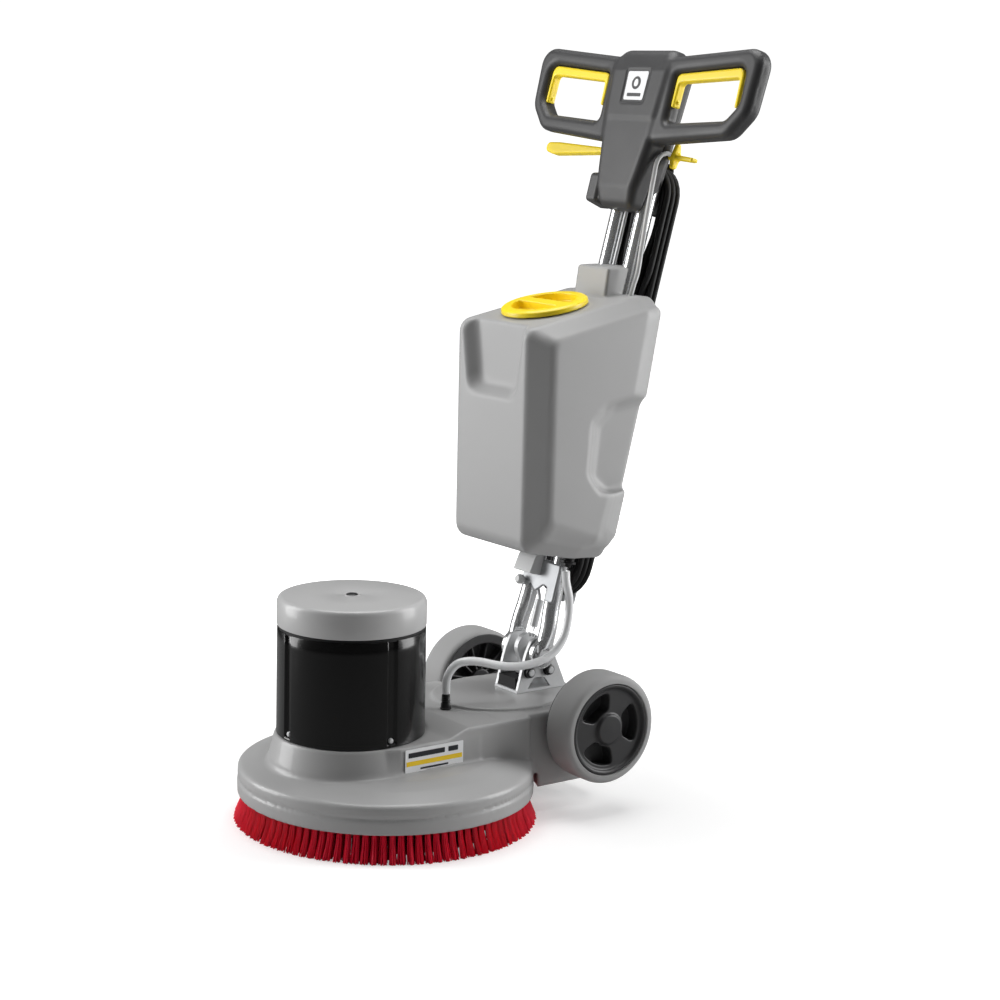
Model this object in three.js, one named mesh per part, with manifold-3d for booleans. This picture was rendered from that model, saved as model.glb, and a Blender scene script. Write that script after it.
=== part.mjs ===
// Single-disc floor scrubber: a 430 mm disc brush under a cast deck, an offset motor with a gear stage,
// two transport wheels, and a tilting mast that carries the solution tank, the operating head and the mains cord.
// Millimetres, +Z up, -Y is the front (motor), +Y is the operator's side, X runs across the machine.
// The origin is on the floor, under the middle of the machine.
import * as THREE from 'three';
import { mergeVertices } from 'three/addons/utils/BufferGeometryUtils.js';
import Module from 'manifold-3d';

const wasm = await Module();
wasm.setup();

// ---- Driving dimensions -------------------------------------------------------------------------
const GAP = 0.3;                      // clearance between two pieces that touch
const BRUSH_Y = -138;                 // brush axis
const BRUSH_RADIUS = 215;             // working width 430
const SKIRT_RADIUS = 208;
const SKIRT_BOTTOM = 39;
const DOME_CEILING = 88;
const CENTRE_DISTANCE = 60;           // brush axis to motor axis
const MOTOR_Y = BRUSH_Y - CENTRE_DISTANCE;
const MOTOR_RADIUS = 102.5;
const PEDESTAL_TOP = 134;
const SHELL_TOP = 282;
const CAP_BOTTOM = 286;
const CAP_TOP = 326;
const TIER_TOP = 146;                 // flat top of the rear of the deck
const LENS_TOP = 152;                 // raised pad that carries the mast bracket
const GEAR_TEETH = 54;
const PINION_TEETH = 6;
const MODULE_SIZE = 2 * CENTRE_DISTANCE / (GEAR_TEETH + PINION_TEETH);
const WHEEL_Y = 122;
const WHEEL_Z = 128;
const WHEEL_RADIUS = 78.5;
const WHEEL_OUTER_X = 180;
const TYRE_WIDTH = 53;
const PIVOT_Y = 109;
const PIVOT_Z = 208;
const LEAN = THREE.MathUtils.degToRad(15);   // the mast leans back from vertical
const TUBE_RADIUS = 12.5;
const TUBE_X = 28;
const TUBE_FOOT_X = 34;
const TUBE_TOP = 716;                 // along the mast, from the pivot
const EAR_INNER_X = 22;
const EAR_OUTER_X = 27;
const HEAD_FRONT = -48;               // across the mast, from the tube centres
const HEAD_SPLIT = -14;
const HEAD_BACK = 16;
const GRIP_BACK = -16;
const TANK_SIDE_X = 108;
const TANK_BEND_X = 98;                // the rear edge of the side is bevelled from here
const TANK_FRONT_X = 79;              // half width of the flat front, between the broad chamfers
const TANK_WALL = 4;
const CHANNEL_X = 41;                 // half width of the channel behind the tank that takes both tubes
const CHANNEL_V = -14.5;
const HANK_CHANNEL_X = 52;            // it widens behind the tubes to take the wound cord
const HANK_CHANNEL_V = 13;
const TANK_TOP_TILT = Math.atan(0.1995);
const CORD_DIAMETER = 9;
const HANK_V = 17;                    // front face of the wound cord
const HANK_LAYERS = 3;
const HANK_COLUMNS = 3;
const HANK_LOW = 137;                 // centres of the hank's two round ends, along the mast
const HANK_HIGH = 680;
const HANK_BEND = 3 * CORD_DIAMETER;  // centre-line radius of the innermost turn
const HOSE_DIAMETER = 12;
const ROD_X = 56;                     // water control rod and valve
const ROD_V = -12;

// ---- Materials ----------------------------------------------------------------------------------
const finish = (color, roughness, metalness = 0) => new THREE.MeshStandardMaterial({ color, roughness, metalness });
const deckGrey = finish(0x8f9092, 0.5);
const tankGrey = finish(0x969799, 0.55);
const headGrey = finish(0x3f4042, 0.55);
const black = finish(0x0c0c0d, 0.35);
const rubber = finish(0x1a1a1b, 0.8);
const tyreGrey = finish(0x8b8c8d, 0.8);
const hubGrey = finish(0x38393a, 0.5);
const yellow = finish(0xf3d51e, 0.45);
const red = finish(0xb3122b, 0.6);
const whiteNylon = finish(0xdedede, 0.5);
const chrome = finish(0xd8dadc, 0.12, 1);
const steel = finish(0xaeb0b2, 0.35, 1);
const aluminium = finish(0xc2c4c6, 0.45, 1);
const clearHose = finish(0xe6e7e8, 0.4);
const blockBeige = finish(0xcfc9ba, 0.6);

// ---- Geometry helpers ---------------------------------------------------------------------------
// One closed surface with shared vertices, no empty triangles, and faces pointing out.
function welded(geometry) {
  const bare = geometry.clone();
  bare.deleteAttribute('normal');
  bare.deleteAttribute('uv');
  const merged = mergeVertices(bare, 1e-4);
  const old = merged.index.array;
  const kept = [];
  for (let i = 0; i < old.length; i += 3) {
    const [a, b, c] = [old[i], old[i + 1], old[i + 2]];
    if (a !== b && b !== c && c !== a) kept.push(a, b, c);
  }
  const p = merged.attributes.position;
  const corners = [new THREE.Vector3(), new THREE.Vector3(), new THREE.Vector3()];
  let volume = 0;
  for (let i = 0; i < kept.length; i += 3) {
    corners.forEach((corner, k) => corner.fromBufferAttribute(p, kept[i + k]));
    volume += corners[0].dot(corners[1].cross(corners[2]));
  }
  merged.setIndex(volume < 0 ? kept.reverse() : kept);
  return merged;
}

function solid(geometry) {
  const g = welded(geometry);
  return new wasm.Manifold(new wasm.Mesh({
    numProp: 3,
    vertProperties: new Float32Array(g.attributes.position.array),
    triVerts: new Uint32Array(g.index.array),
  }));
}

function surface(body) {
  const mesh = body.getMesh();
  const g = new THREE.BufferGeometry();
  g.setAttribute('position', new THREE.BufferAttribute(new Float32Array(mesh.vertProperties), 3));
  g.setIndex(Array.from(mesh.triVerts));
  return g;
}

const join = (...pieces) => surface(pieces.map(solid).reduce((a, b) => a.add(b)));
const cut = (base, ...tools) => surface(tools.map(solid).reduce((a, b) => a.subtract(b), solid(base)));

function mirrored(geometry) {
  const g = geometry.clone();
  g.scale(-1, 1, 1);
  return welded(g);
}

// A closed profile of [radius, height] turned about the Z axis.
function turned(profile, segments = 36) {
  const points = profile.map(([r, z]) => new THREE.Vector2(r, z));
  if (profile[0][0] > 0) points.push(points[0].clone());
  return new THREE.LatheGeometry(points, segments).rotateX(Math.PI / 2);
}

const ring = (inner, outer, low, high, segments) => turned([[inner, low], [outer, low], [outer, high], [inner, high]], segments);
const disc = (radius, low, high, segments) => turned([[0, low], [radius, low], [radius, high], [0, high]], segments);
const alongX = (geometry) => geometry.rotateY(Math.PI / 2);
const alongY = (geometry) => geometry.rotateX(-Math.PI / 2);

function block(x0, x1, y0, y1, z0, z1) {
  return new THREE.BoxGeometry(x1 - x0, y1 - y0, z1 - z0).translate((x0 + x1) / 2, (y0 + y1) / 2, (z0 + z1) / 2);
}

// Points of an outline whose corners [x, y, radius, ...rest] are rounded; every corner gives the same number of points.
function roundedCorners(corners, steps = 4) {
  const points = [];
  corners.forEach(([x, y, radius, ...rest], i) => {
    const here = new THREE.Vector2(x, y);
    const toCorner = (other) => new THREE.Vector2(other[0], other[1]).sub(here).normalize().multiplyScalar(radius).add(here);
    const from = toCorner(corners[(i + corners.length - 1) % corners.length]);
    const to = toCorner(corners[(i + 1) % corners.length]);
    const curve = new THREE.QuadraticBezierCurve(from, here, to);
    for (let k = 0; k <= steps; k++) {
      const point = curve.getPoint(k / steps);
      points.push(Object.assign(point, { rest }));
    }
  });
  return points;
}

const outline = (corners, steps) => new THREE.Shape(roundedCorners(corners, steps));

function plate(shape, low, high, bevel = 0) {
  const straight = high - low - 2 * bevel;
  const options = { depth: straight, bevelEnabled: bevel > 0, curveSegments: 5 };
  if (bevel > 0) Object.assign(options, { bevelSize: bevel, bevelThickness: bevel, bevelOffset: -bevel, bevelSegments: 1 });
  return new THREE.ExtrudeGeometry(shape, options).translate(0, 0, low + bevel);
}

// A polygon whose flats lie on the circle, so a round pin of that radius passes.
function holePath(x, y, radius, sides = 16) {
  const corner = radius / Math.cos(Math.PI / sides);
  return new THREE.Path(Array.from({ length: sides }, (_, i) => {
    const angle = -2 * Math.PI * i / sides;
    return new THREE.Vector2(x + corner * Math.cos(angle), y + corner * Math.sin(angle));
  }));
}

// The same, for a shape drawn in the (Y, Z) plane and given thickness along X,
// and for one drawn in the (X, Z) plane and given thickness along Y.
const plateX = (shape, low, high) => plate(shape, low, high).rotateX(Math.PI / 2).rotateZ(Math.PI / 2);
const plateY = (shape, low, high, bevel) => plate(shape, -high, -low, bevel).rotateX(Math.PI / 2);

// A skin over rings of points, closed by flat caps.
function loft(rings) {
  const count = rings[0].length;
  const positions = rings.flat().flatMap((p) => [p.x, p.y, p.z]);
  const index = [];
  for (let r = 0; r + 1 < rings.length; r++) {
    for (let i = 0; i < count; i++) {
      const [a, b] = [r * count + i, r * count + (i + 1) % count];
      index.push(a, b, b + count, a, b + count, a + count);
    }
  }
  const capOf = (ringPoints, base, last) => {
    const flat = ringPoints.map((p) => new THREE.Vector2(p.y, p.z));
    const flip = THREE.ShapeUtils.isClockWise(flat) === last;
    for (const [a, b, c] of THREE.ShapeUtils.triangulateShape(flat, [])) {
      index.push(...(flip ? [base + a, base + c, base + b] : [base + a, base + b, base + c]));
    }
  };
  capOf(rings[0], 0, false);
  capOf(rings.at(-1), (rings.length - 1) * count, true);
  const g = new THREE.BufferGeometry();
  g.setAttribute('position', new THREE.Float32BufferAttribute(positions, 3));
  g.setIndex(index);
  return g;
}

function rod(from, to, radius, sides = 16) {
  const [a, b] = [new THREE.Vector3(...from), new THREE.Vector3(...to)];
  const g = new THREE.CylinderGeometry(radius, radius, a.distanceTo(b), sides);
  const turn = new THREE.Quaternion().setFromUnitVectors(new THREE.Vector3(0, 1, 0), b.clone().sub(a).normalize());
  const middle = a.add(b).multiplyScalar(0.5);
  return g.applyQuaternion(turn).translate(middle.x, middle.y, middle.z);
}

// A round section, with an optional bore, that follows a line of points.
function pipe(points, radius, sides, bore = 0) {
  const line = points.map((p) => new THREE.Vector3(...p));
  const along = line.map((p, i) => line[Math.min(i + 1, line.length - 1)].clone()
    .sub(line[Math.max(i - 1, 0)]).normalize());
  const side = new THREE.Vector3(1, 0, 0);
  if (Math.abs(side.dot(along[0])) > 0.9) side.set(0, 1, 0);
  const frames = along.map((t) => {
    side.addScaledVector(t, -side.dot(t)).normalize();
    return [side.clone(), t.clone().cross(side)];
  });
  const ringAt = (i, r) => Array.from({ length: sides }, (_, k) => {
    const angle = 2 * Math.PI * k / sides;
    return line[i].clone().addScaledVector(frames[i][0], r * Math.cos(angle)).addScaledVector(frames[i][1], r * Math.sin(angle));
  });
  const outer = line.map((_, i) => ringAt(i, radius));
  const rings = bore > 0 ? [...outer, ...line.map((_, i) => ringAt(i, bore)).reverse(), outer[0]] : outer;
  const positions = rings.flat().flatMap((p) => [p.x, p.y, p.z]);
  const index = [];
  for (let r = 0; r + 1 < rings.length; r++) {
    for (let k = 0; k < sides; k++) {
      const [a, b] = [r * sides + k, r * sides + (k + 1) % sides];
      index.push(a, b, b + sides, a, b + sides, a + sides);
    }
  }
  if (bore === 0) {
    const last = (rings.length - 1) * sides;
    for (let k = 1; k + 1 < sides; k++) index.push(0, k + 1, k, last, last + k, last + k + 1);
  }
  const g = new THREE.BufferGeometry();
  g.setAttribute('position', new THREE.Float32BufferAttribute(positions, 3));
  g.setIndex(index);
  return g;
}

// ---- The assembly -------------------------------------------------------------------------------
const machine = new THREE.Group();
const handle = new THREE.Group();      // x across, y across the mast, z along the mast, origin on the pivot
handle.position.set(0, PIVOT_Y, PIVOT_Z);
handle.rotation.x = -LEAN;
machine.add(handle);
const tankFrame = new THREE.Group();   // upright again, origin on the pivot: the tank stands straight on the leaning mast
tankFrame.rotation.x = LEAN;
handle.add(tankFrame);

function add(parent, name, geometry, material) {
  const mesh = new THREE.Mesh(welded(geometry), material);
  mesh.name = name;
  parent.add(mesh);
  return mesh;
}

// ---- Deck ---------------------------------------------------------------------------------------
function deckHousing() {
  const dome = turned([
    [0, DOME_CEILING], [150, DOME_CEILING], [188, 85], [200.5, 76], [200.5, SKIRT_BOTTOM], [SKIRT_RADIUS, SKIRT_BOTTOM],
    [SKIRT_RADIUS + 0.8, 58], [SKIRT_RADIUS - 1, 60], [SKIRT_RADIUS - 1, 74], [203, 84], [186, 93], [150, 97], [0, 98],
  ], 48).translate(0, BRUSH_Y, 0);
  const pedestal = surface(wasm.Manifold.hull([
    disc(114, 88, 99, 48).translate(0, MOTOR_Y, 0), disc(106, 90, PEDESTAL_TOP, 48).translate(0, MOTOR_Y, 0),
    block(-114, 114, -90, -70, 88, 99), block(-106, 106, -90, -78, 90, PEDESTAL_TOP),
  ].map(solid)));
  const tier = plate(outline([[-115, -98, 30], [115, -98, 30], [115, 22, 14], [-115, 22, 14]]), 92, TIER_TOP, 6);
  const rearBlock = plate(outline([[-112, -12, 12], [112, -12, 12], [112, 180, 38], [-112, 180, 38]], 6), 36, TIER_TOP, 4);
  const lens = new THREE.Shape().absellipse(0, 62, 92, 106, 0, 2 * Math.PI);
  const pad = plate(lens, 136, LENS_TOP, 3);
  const brushRoom = join(
    disc(200.5, 20, DOME_CEILING - 12, 48),
    disc(SKIRT_RADIUS + 10, 20, SKIRT_BOTTOM - 0.01, 48),
  ).translate(0, BRUSH_Y, 0);
  const skirtSlot = ring(SKIRT_RADIUS + 1.2, SKIRT_RADIUS + 10, 20, 58, 48).translate(0, BRUSH_Y, 0);
  const gearRoom = join(
    disc(62, 80, 124, 28).translate(0, BRUSH_Y, 0),
    disc(22, 80, 124, 24).translate(0, MOTOR_Y, 0),
  );
  const shaftHole = disc(12, 120, 140, 24).translate(0, MOTOR_Y, 0);
  const motorSeat = disc(MOTOR_RADIUS + 2, PEDESTAL_TOP, 160, 48).translate(0, MOTOR_Y, 0);
  const rearRoom = join(
    block(-104, 104, 92, 172, 30, 137),
    block(-104, 104, -62, 172, 104, 137),
  );
  const axleHole = alongX(disc(8.6, -120, 120, 24)).translate(0, WHEEL_Y, WHEEL_Z);
  return cut(join(dome, pedestal, tier, rearBlock, pad), brushRoom, skirtSlot, gearRoom, shaftHole, motorSeat, rearRoom, axleHole);
}

function gearCaseLid() {
  const low = 79.7;
  const high = DOME_CEILING - GAP;
  const wide = disc(72, low, high, 28).translate(0, BRUSH_Y, 0);
  const narrow = disc(30, low, high, 16).translate(0, MOTOR_Y, 0);
  return cut(join(wide, narrow), disc(19.4, low - 1, high + 1, 16).translate(0, BRUSH_Y, 0));
}

add(machine, 'deck_housing', deckHousing(), deckGrey);
add(machine, 'gear_case_lid', gearCaseLid(), aluminium);
add(machine, 'spindle_bearing', ring(9.4, 19, 80, 87.4, 16).translate(0, BRUSH_Y, 0), steel);
add(machine, 'start_capacitor', alongX(disc(15, -52, 52, 20)).translate(0, 20, 121), finish(0xb9babb, 0.5));

// ---- Brush, drive plate, spindle and gear ---------------------------------------------------------
// Straight-sided teeth with generous backlash; a tooth points along +X.
function gearShape(teeth, bore) {
  const pitch = teeth * MODULE_SIZE / 2;
  const [tip, root] = [pitch + 1, pitch - 1.6];
  const [tipHalf, rootHalf] = [0.5, 0.9];
  const shape = new THREE.Shape();
  for (let i = 0; i < teeth; i++) {
    const middle = 2 * Math.PI * i / teeth;
    const corners = [[root, -rootHalf], [tip, -tipHalf], [tip, tipHalf], [root, rootHalf]];
    corners.forEach(([r, offset], k) => {
      const angle = middle + offset / r;
      const point = [r * Math.cos(angle), r * Math.sin(angle)];
      if (i === 0 && k === 0) shape.moveTo(...point);
      else shape.lineTo(...point);
    });
  }
  shape.closePath();
  shape.holes.push(holePath(0, 0, bore));
  return shape;
}

const bristleProfile = [[62, 0], [BRUSH_RADIUS, 0], [206, 22], [196, 45.7], [62, 45.7]];
const blockProfile = [[30, 46], [196, 46], [196, 56], [90, 66], [30, 66]];
const clutchProfile = [[9.4, 66.3], [70, 66.3], [70, 72], [24, 76], [24, 79.4], [9.4, 79.4]];
const spindleProfile = [[0, 54], [15, 54], [15, 66], [9, 66], [9, 120], [0, 120]];
add(machine, 'brush_bristles', turned(bristleProfile, 48).translate(0, BRUSH_Y, 0), red);
add(machine, 'brush_block', turned(blockProfile, 36).translate(0, BRUSH_Y, 0), blockBeige);
add(machine, 'drive_plate', turned(clutchProfile, 24).translate(0, BRUSH_Y, 0), steel);
add(machine, 'brush_spindle', turned(spindleProfile, 16).translate(0, BRUSH_Y, 0), steel);
add(machine, 'drive_gear', plate(gearShape(GEAR_TEETH, 9.4), 99, 112).translate(0, BRUSH_Y, 0), steel);

// ---- Motor --------------------------------------------------------------------------------------
function motorShell() {
  const wall = turned([
    [17.4, PEDESTAL_TOP + GAP], [MOTOR_RADIUS + 0.8, PEDESTAL_TOP + GAP], [MOTOR_RADIUS, SHELL_TOP],
    [MOTOR_RADIUS - 5, SHELL_TOP], [MOTOR_RADIUS - 5, 147], [17.4, 147],
  ], 32).translate(0, MOTOR_Y, 0);
  const grooves = [0, 1, 2, 3].map((quarter) => block(MOTOR_RADIUS - 3, 120, -7.5, 7.5, 136, SHELL_TOP + 1)
    .rotateZ(quarter * Math.PI / 2).translate(0, MOTOR_Y, 0));
  return cut(wall, ...grooves);
}

function motorCap() {
  const skin = turned([
    [99.5, CAP_BOTTOM], [MOTOR_RADIUS + 0.5, CAP_BOTTOM], [MOTOR_RADIUS + 0.5, 317], [99.5, 323.5],
    [92, CAP_TOP], [0, CAP_TOP], [0, 322.5], [91, 322.5], [99.5, 315],
  ], 32);
  const feet = [45, 135, 225, 315].map((degrees) => join(block(82, 96, -6, 6, 278.4, 296), block(90, 100.5, -6, 6, 284, 296))
    .rotateZ(THREE.MathUtils.degToRad(degrees)));
  return join(skin, ...feet).translate(0, MOTOR_Y, 0);
}

function motorStator() {
  return join(ring(62, 92, 165, 238, 20), ring(66, 86, 152, 252, 20)).translate(0, MOTOR_Y, 0);
}

function coolingFan() {
  const hub = turned([[8.4, 288], [74, 288], [74, 291], [18, 291], [18, 304], [8.4, 304]], 20);
  const blades = Array.from({ length: 8 }, (_, i) => block(14, 72, -1.5, 1.5, 289, 304).rotateZ(i * Math.PI / 4));
  return join(hub, ...blades).translate(0, MOTOR_Y, 0);
}

const shaftProfile = [[0, 97], [3, 97], [3, 116], [8, 118], [8, 306], [0, 306]];
add(machine, 'motor_shell', motorShell(), black);
add(machine, 'motor_end_shield', ring(17.4, 96.6, 262, 278, 20).translate(0, MOTOR_Y, 0), aluminium);
add(machine, 'motor_bearing_lower', ring(8.4, 17, 136, 146, 16).translate(0, MOTOR_Y, 0), steel);
add(machine, 'motor_bearing_upper', ring(8.4, 17, 265, 275, 16).translate(0, MOTOR_Y, 0), steel);
add(machine, 'motor_stator', motorStator(), finish(0x9a5a2c, 0.5, 0.6));
add(machine, 'motor_cap', motorCap(), deckGrey);
add(machine, 'rotor_core', ring(8.4, 60.3, 165, 238, 20).translate(0, MOTOR_Y, 0), steel);
add(machine, 'motor_shaft', turned(shaftProfile, 16).translate(0, MOTOR_Y, 0), steel);
add(machine, 'drive_pinion', plate(gearShape(PINION_TEETH, 3.3), 98, 114)
  .rotateZ(Math.PI / PINION_TEETH).translate(0, MOTOR_Y, 0), steel);
add(machine, 'cooling_fan', coolingFan(), black);

// ---- Wheels and axle ----------------------------------------------------------------------------
// Both are made for the right side, with the axis along Z and the outer face up, then laid along X.
function wheelRim() {
  const rim = turned([
    [0, 178], [0, 168], [8.6, 168], [8.6, 130], [18, 130], [18, 156], [60, 156], [60, 130], [66, 130], [66, 178],
    [61, 178.8], [57, 175], [22, 175], [19, 178],
  ].reverse(), 28);
  const pockets = [0, 1, 2].map((third) => {
    const middle = THREE.MathUtils.degToRad(5 + 120 * third);
    const [inner, outer, half] = [26, 52, THREE.MathUtils.degToRad(35)];
    const shape = new THREE.Shape();
    shape.absarc(0, 0, outer, middle - half, middle + half, false);
    shape.absarc(0, 0, inner, middle + half * 0.7, middle - half * 0.7, true);
    shape.closePath();
    return plate(shape, 161, 190).rotateZ(Math.PI / 2);
  });
  return cut(rim, ...pockets);
}

const tyreProfile = [[66.3, 0], [73, 0], [WHEEL_RADIUS, 6], [WHEEL_RADIUS, TYRE_WIDTH - 6], [73, TYRE_WIDTH], [66.3, TYRE_WIDTH]];
const rimGeometry = alongX(wheelRim());
const tyreGeometry = alongX(turned(tyreProfile, 28).translate(0, 0, WHEEL_OUTER_X - TYRE_WIDTH));
for (const [side, make] of [['right', (g) => g.clone()], ['left', mirrored]]) {
  add(machine, `wheel_rim_${side}`, make(rimGeometry).translate(0, WHEEL_Y, WHEEL_Z), hubGrey);
  add(machine, `wheel_tyre_${side}`, make(tyreGeometry).translate(0, WHEEL_Y, WHEEL_Z), tyreGrey);
}
add(machine, 'wheel_axle', alongX(disc(8, -167, 167, 20)).translate(0, WHEEL_Y, WHEEL_Z), steel);

// ---- Mast bracket on the deck -------------------------------------------------------------------
function baseBracket() {
  const low = LENS_TOP + GAP;
  const ear = outline([
    [70, low, 1], [86, low, 2], [100, 172, 5], [119, 172, 5], [134, low, 2], [160, low, 1],
    [134, 210, 10], [122, 230.5, 8], [96, 230.5, 8], [85, 210, 10],
  ]);
  ear.holes.push(holePath(PIVOT_Y, PIVOT_Z, 8.3));
  const bolts = [90.5, 125.5].map((y) => alongX(disc(5.4, -60, 60, 16)).translate(0, y, 182));
  const ears = [[EAR_INNER_X, EAR_OUTER_X], [-EAR_OUTER_X, -EAR_INNER_X]].map(([a, b]) => plateX(ear, a, b));
  return cut(join(...ears, block(-27, 27, 70, 160, low, low + 4), block(-27, 27, 144, 148, low, 172)), ...bolts);
}

function bracketBolt(y) {
  const shank = alongX(disc(5, -31, 31, 16));
  const head = alongX(disc(8, EAR_OUTER_X + GAP, 33, 6));
  const nut = alongX(disc(8, -33, -EAR_OUTER_X - GAP, 6));
  return join(shank, head, nut).translate(0, y, 182);
}

// Toothed stop plate around the pivot: the mast's lock plunger points at its notches.
function lockSector() {
  const plateShape = outline([[100, 157, 1], [116, 157, 1], [118, 190, 3], [134, 214, 10], [118, 233, 10], [96, 233, 10], [84, 214, 10], [96, 190, 3]]);
  plateShape.holes.push(holePath(PIVOT_Y, PIVOT_Z, 8.3));
  const notches = [-15, 0, 15, 30, 45].map((degrees) => block(-6, 6, -1.5, 1.5, 20, 40)
    .rotateX(-LEAN - THREE.MathUtils.degToRad(degrees)).translate(0, PIVOT_Y, PIVOT_Z));
  return cut(plateX(plateShape, -4, 4), ...notches);
}

add(machine, 'base_bracket', baseBracket(), steel);
add(machine, 'bracket_bolt_front', bracketBolt(90.5), steel);
add(machine, 'bracket_bolt_rear', bracketBolt(125.5), steel);
add(machine, 'lock_sector', lockSector(), steel);
add(machine, 'cable_boot', cut(block(-20, 20, 72, 97, 157, 173), block(-5, 5, 90, 98, 150, 180), alongX(disc(8.6, -30, 30, 16)).translate(0, 90.5, 182)), rubber);
add(machine, 'pivot_pin', join(alongX(disc(8, -40, 40, 16)), alongX(disc(12, 39, 43, 16)), alongX(disc(12, -43, -39, 16)))
  .translate(0, PIVOT_Y, PIVOT_Z), steel);
add(machine, 'hose_fitting', turned([[0, 146.3], [8, 146.3], [8, 154], [6, 156], [6, 168], [0, 168]], 16).translate(20, -51, 0), black);

// ---- Mast ---------------------------------------------------------------------------------------
function mastTube() {
  const path = [
    [TUBE_FOOT_X, 0, 28], [TUBE_FOOT_X - 0.4, 0, 38], [TUBE_FOOT_X - 1.8, 0, 50], [TUBE_FOOT_X - 3.6, 0, 62],
    [TUBE_X + 1.2, 0, 76], [TUBE_X + 0.3, 0, 92], [TUBE_X, 0, 110], [TUBE_X, 0, TUBE_TOP],
  ];
  const tube = pipe(path, TUBE_RADIUS, 12, TUBE_RADIUS - 2);
  const hub = alongX(disc(21, EAR_OUTER_X + 1, 38, 24));
  const neck = block(EAR_OUTER_X + 1, 38, -11, 11, 0, 34);
  return cut(join(tube, hub, neck), alongX(disc(8.4, 0, 60, 20)));
}

function mastCrosspiece() {
  const front = plateY(outline([
    [-30, 132, 2], [49, 132, 2], [49, 76, 3], [30, 76, 3], [30, 96, 3], [20, 98, 3], [4, 86, 4], [-12, 98, 6],
    [-20, 90, 3], [-32, 90, 3],
  ].reverse(), 2), -17, -13);
  const middle = block(-15, 15, -14, 15, 100, 132);
  const prongs = [-11, 11].map((x) => pipe([[x, 12, 127], [x, 42, 127], [x, 49, 124], [x, 52, 117], [x, 52, 80]], 3.6, 8));
  return cut(join(front, middle, ...prongs), rod([-7, -4, 90], [-7, -4, 140], 4));
}

function lockPlunger() {
  return join(
    rod([0, 0, 34], [0, 0, 74], 6),
    block(-3, 3, -1, 1, 27.8, 36),
    pipe([[0, 0, 72], [-2, -1, 80], [-6, -3.5, 90], [-7, -4, 98], [-7, -4, 700]], 2.6, 6),
  );
}

const tubeGeometry = mastTube();
add(handle, 'mast_tube_right', tubeGeometry, chrome);
add(handle, 'mast_tube_left', mirrored(tubeGeometry), chrome);
add(handle, 'mast_crosspiece', mastCrosspiece(), aluminium);
add(handle, 'lock_plunger', lockPlunger(), chrome);
add(handle, 'tank_clip', plateX(outline([[-37, 110, 3], [-17.4, 110, 2], [-17.4, 140, 2], [-32, 140, 8]]), -31, 8), whiteNylon);
add(handle, 'clamp_knob', alongY(turned([[0, -2], [3, -2], [3, 3], [7, 3], [7.6, 8], [5, 12], [0, 12]], 16))
  .rotateX(Math.PI).translate(-24, -19.5, 97), whiteNylon);

// ---- Operating head -----------------------------------------------------------------------------
const headCorners = (inset) => [
  [-36 + inset, 652 + inset, 10], [36 - inset, 652 + inset, 10], [48 - inset, 706, 8], [55 - inset, 746, 8],
  [62 - inset, 800, 8], [66 - inset, 862, 8], [58 - inset, 885 - inset, 9], [-58 + inset, 885 - inset, 9],
  [-66 + inset, 862, 8], [-62 + inset, 800, 8], [-55 + inset, 746, 8], [-48 + inset, 706, 8],
];

function headFrontCover() {
  const shell = plateY(outline(headCorners(0), 2), HEAD_FRONT, HEAD_SPLIT, 5);
  const hollow = plateY(outline(headCorners(6), 2), HEAD_FRONT + 4, HEAD_SPLIT + 1);
  const flush = plateY(outline(headCorners(0), 2), HEAD_SPLIT - 6, HEAD_SPLIT);
  return cut(join(shell, flush), hollow);
}

function headRearCover() {
  const shell = plateY(outline(headCorners(3), 2), HEAD_SPLIT + GAP, HEAD_BACK);
  const hollow = plateY(outline(headCorners(6.5), 2), HEAD_SPLIT - 1, HEAD_BACK - 3);
  const tubes = [-TUBE_X, TUBE_X].map((x) => rod([x, 0, 640], [x, 0, 720], TUBE_RADIUS + 0.4));
  const leverSlot = block(-80, -40, -12, 10, 728, 752);
  const rodHole = rod([-7, -4, 640], [-7, -4, 670], 4);
  const glandHole = rod([7, 2, 640], [7, 2, 670], 6.2);
  const hookHole = alongY(disc(6.3, 10, 20, 12)).translate(0, 0, HANK_HIGH);
  const buttonHole = alongY(disc(11.6, 10, 20, 16)).translate(0, 0, 800);
  const waterPin = rod([40, 4, 740], [70, 4, 740], 5.4);
  return cut(shell, hollow, ...tubes, leverSlot, rodHole, glandHole, hookHole, buttonHole, waterPin);
}

function grip() {
  const outer = outline([[44, 747, 14], [206, 761, 20], [241, 796, 20], [245, 889, 24], [44, 874, 14]], 3);
  outer.holes.push(new THREE.Path(roundedCorners([[74, 778, 5], [74, 850, 6], [216, 862, 12], [218, 808, 12], [196, 785, 12]], 3)));
  const loop = plateY(outer, HEAD_FRONT, GRIP_BACK, 6);
  const headRoom = plateY(outline(headCorners(-GAP - 0.2), 2), HEAD_FRONT - 5, GRIP_BACK + 5);
  const pins = [rod([60, -32, 809], [75, -32, 809], 2.9, 12), rod([214, -32, 809], [226, -32, 809], 2.9, 12)];
  return cut(loop, headRoom, ...pins);
}

// Inverted U with a pin at the foot of each arm, inside the opening of the grip.
function trigger() {
  const shape = outline([[76, 802, 3], [88, 802, 3], [88, 837, 5], [203, 843, 5], [203, 803, 3], [213, 803, 3], [211, 856, 9], [76, 847, 7]], 3);
  const bow = plateY(shape, -38, -26);
  return join(bow, rod([71, -32, 809], [80, -32, 809], 2.5, 12), rod([208, -32, 809], [223, -32, 809], 2.5, 12));
}

function tiltLever() {
  const blade = plateY(outline([[-46, 735, 3], [-46, 745, 3], [-95, 745.5, 4], [-221, 749.5, 5], [-223, 734, 5], [-208, 731.5, 4], [-95, 736.5, 4]].reverse(), 3), -10, 8);
  return join(blade, alongY(disc(5, -10, 8, 16)).translate(-47, 0, 740));
}

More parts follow.
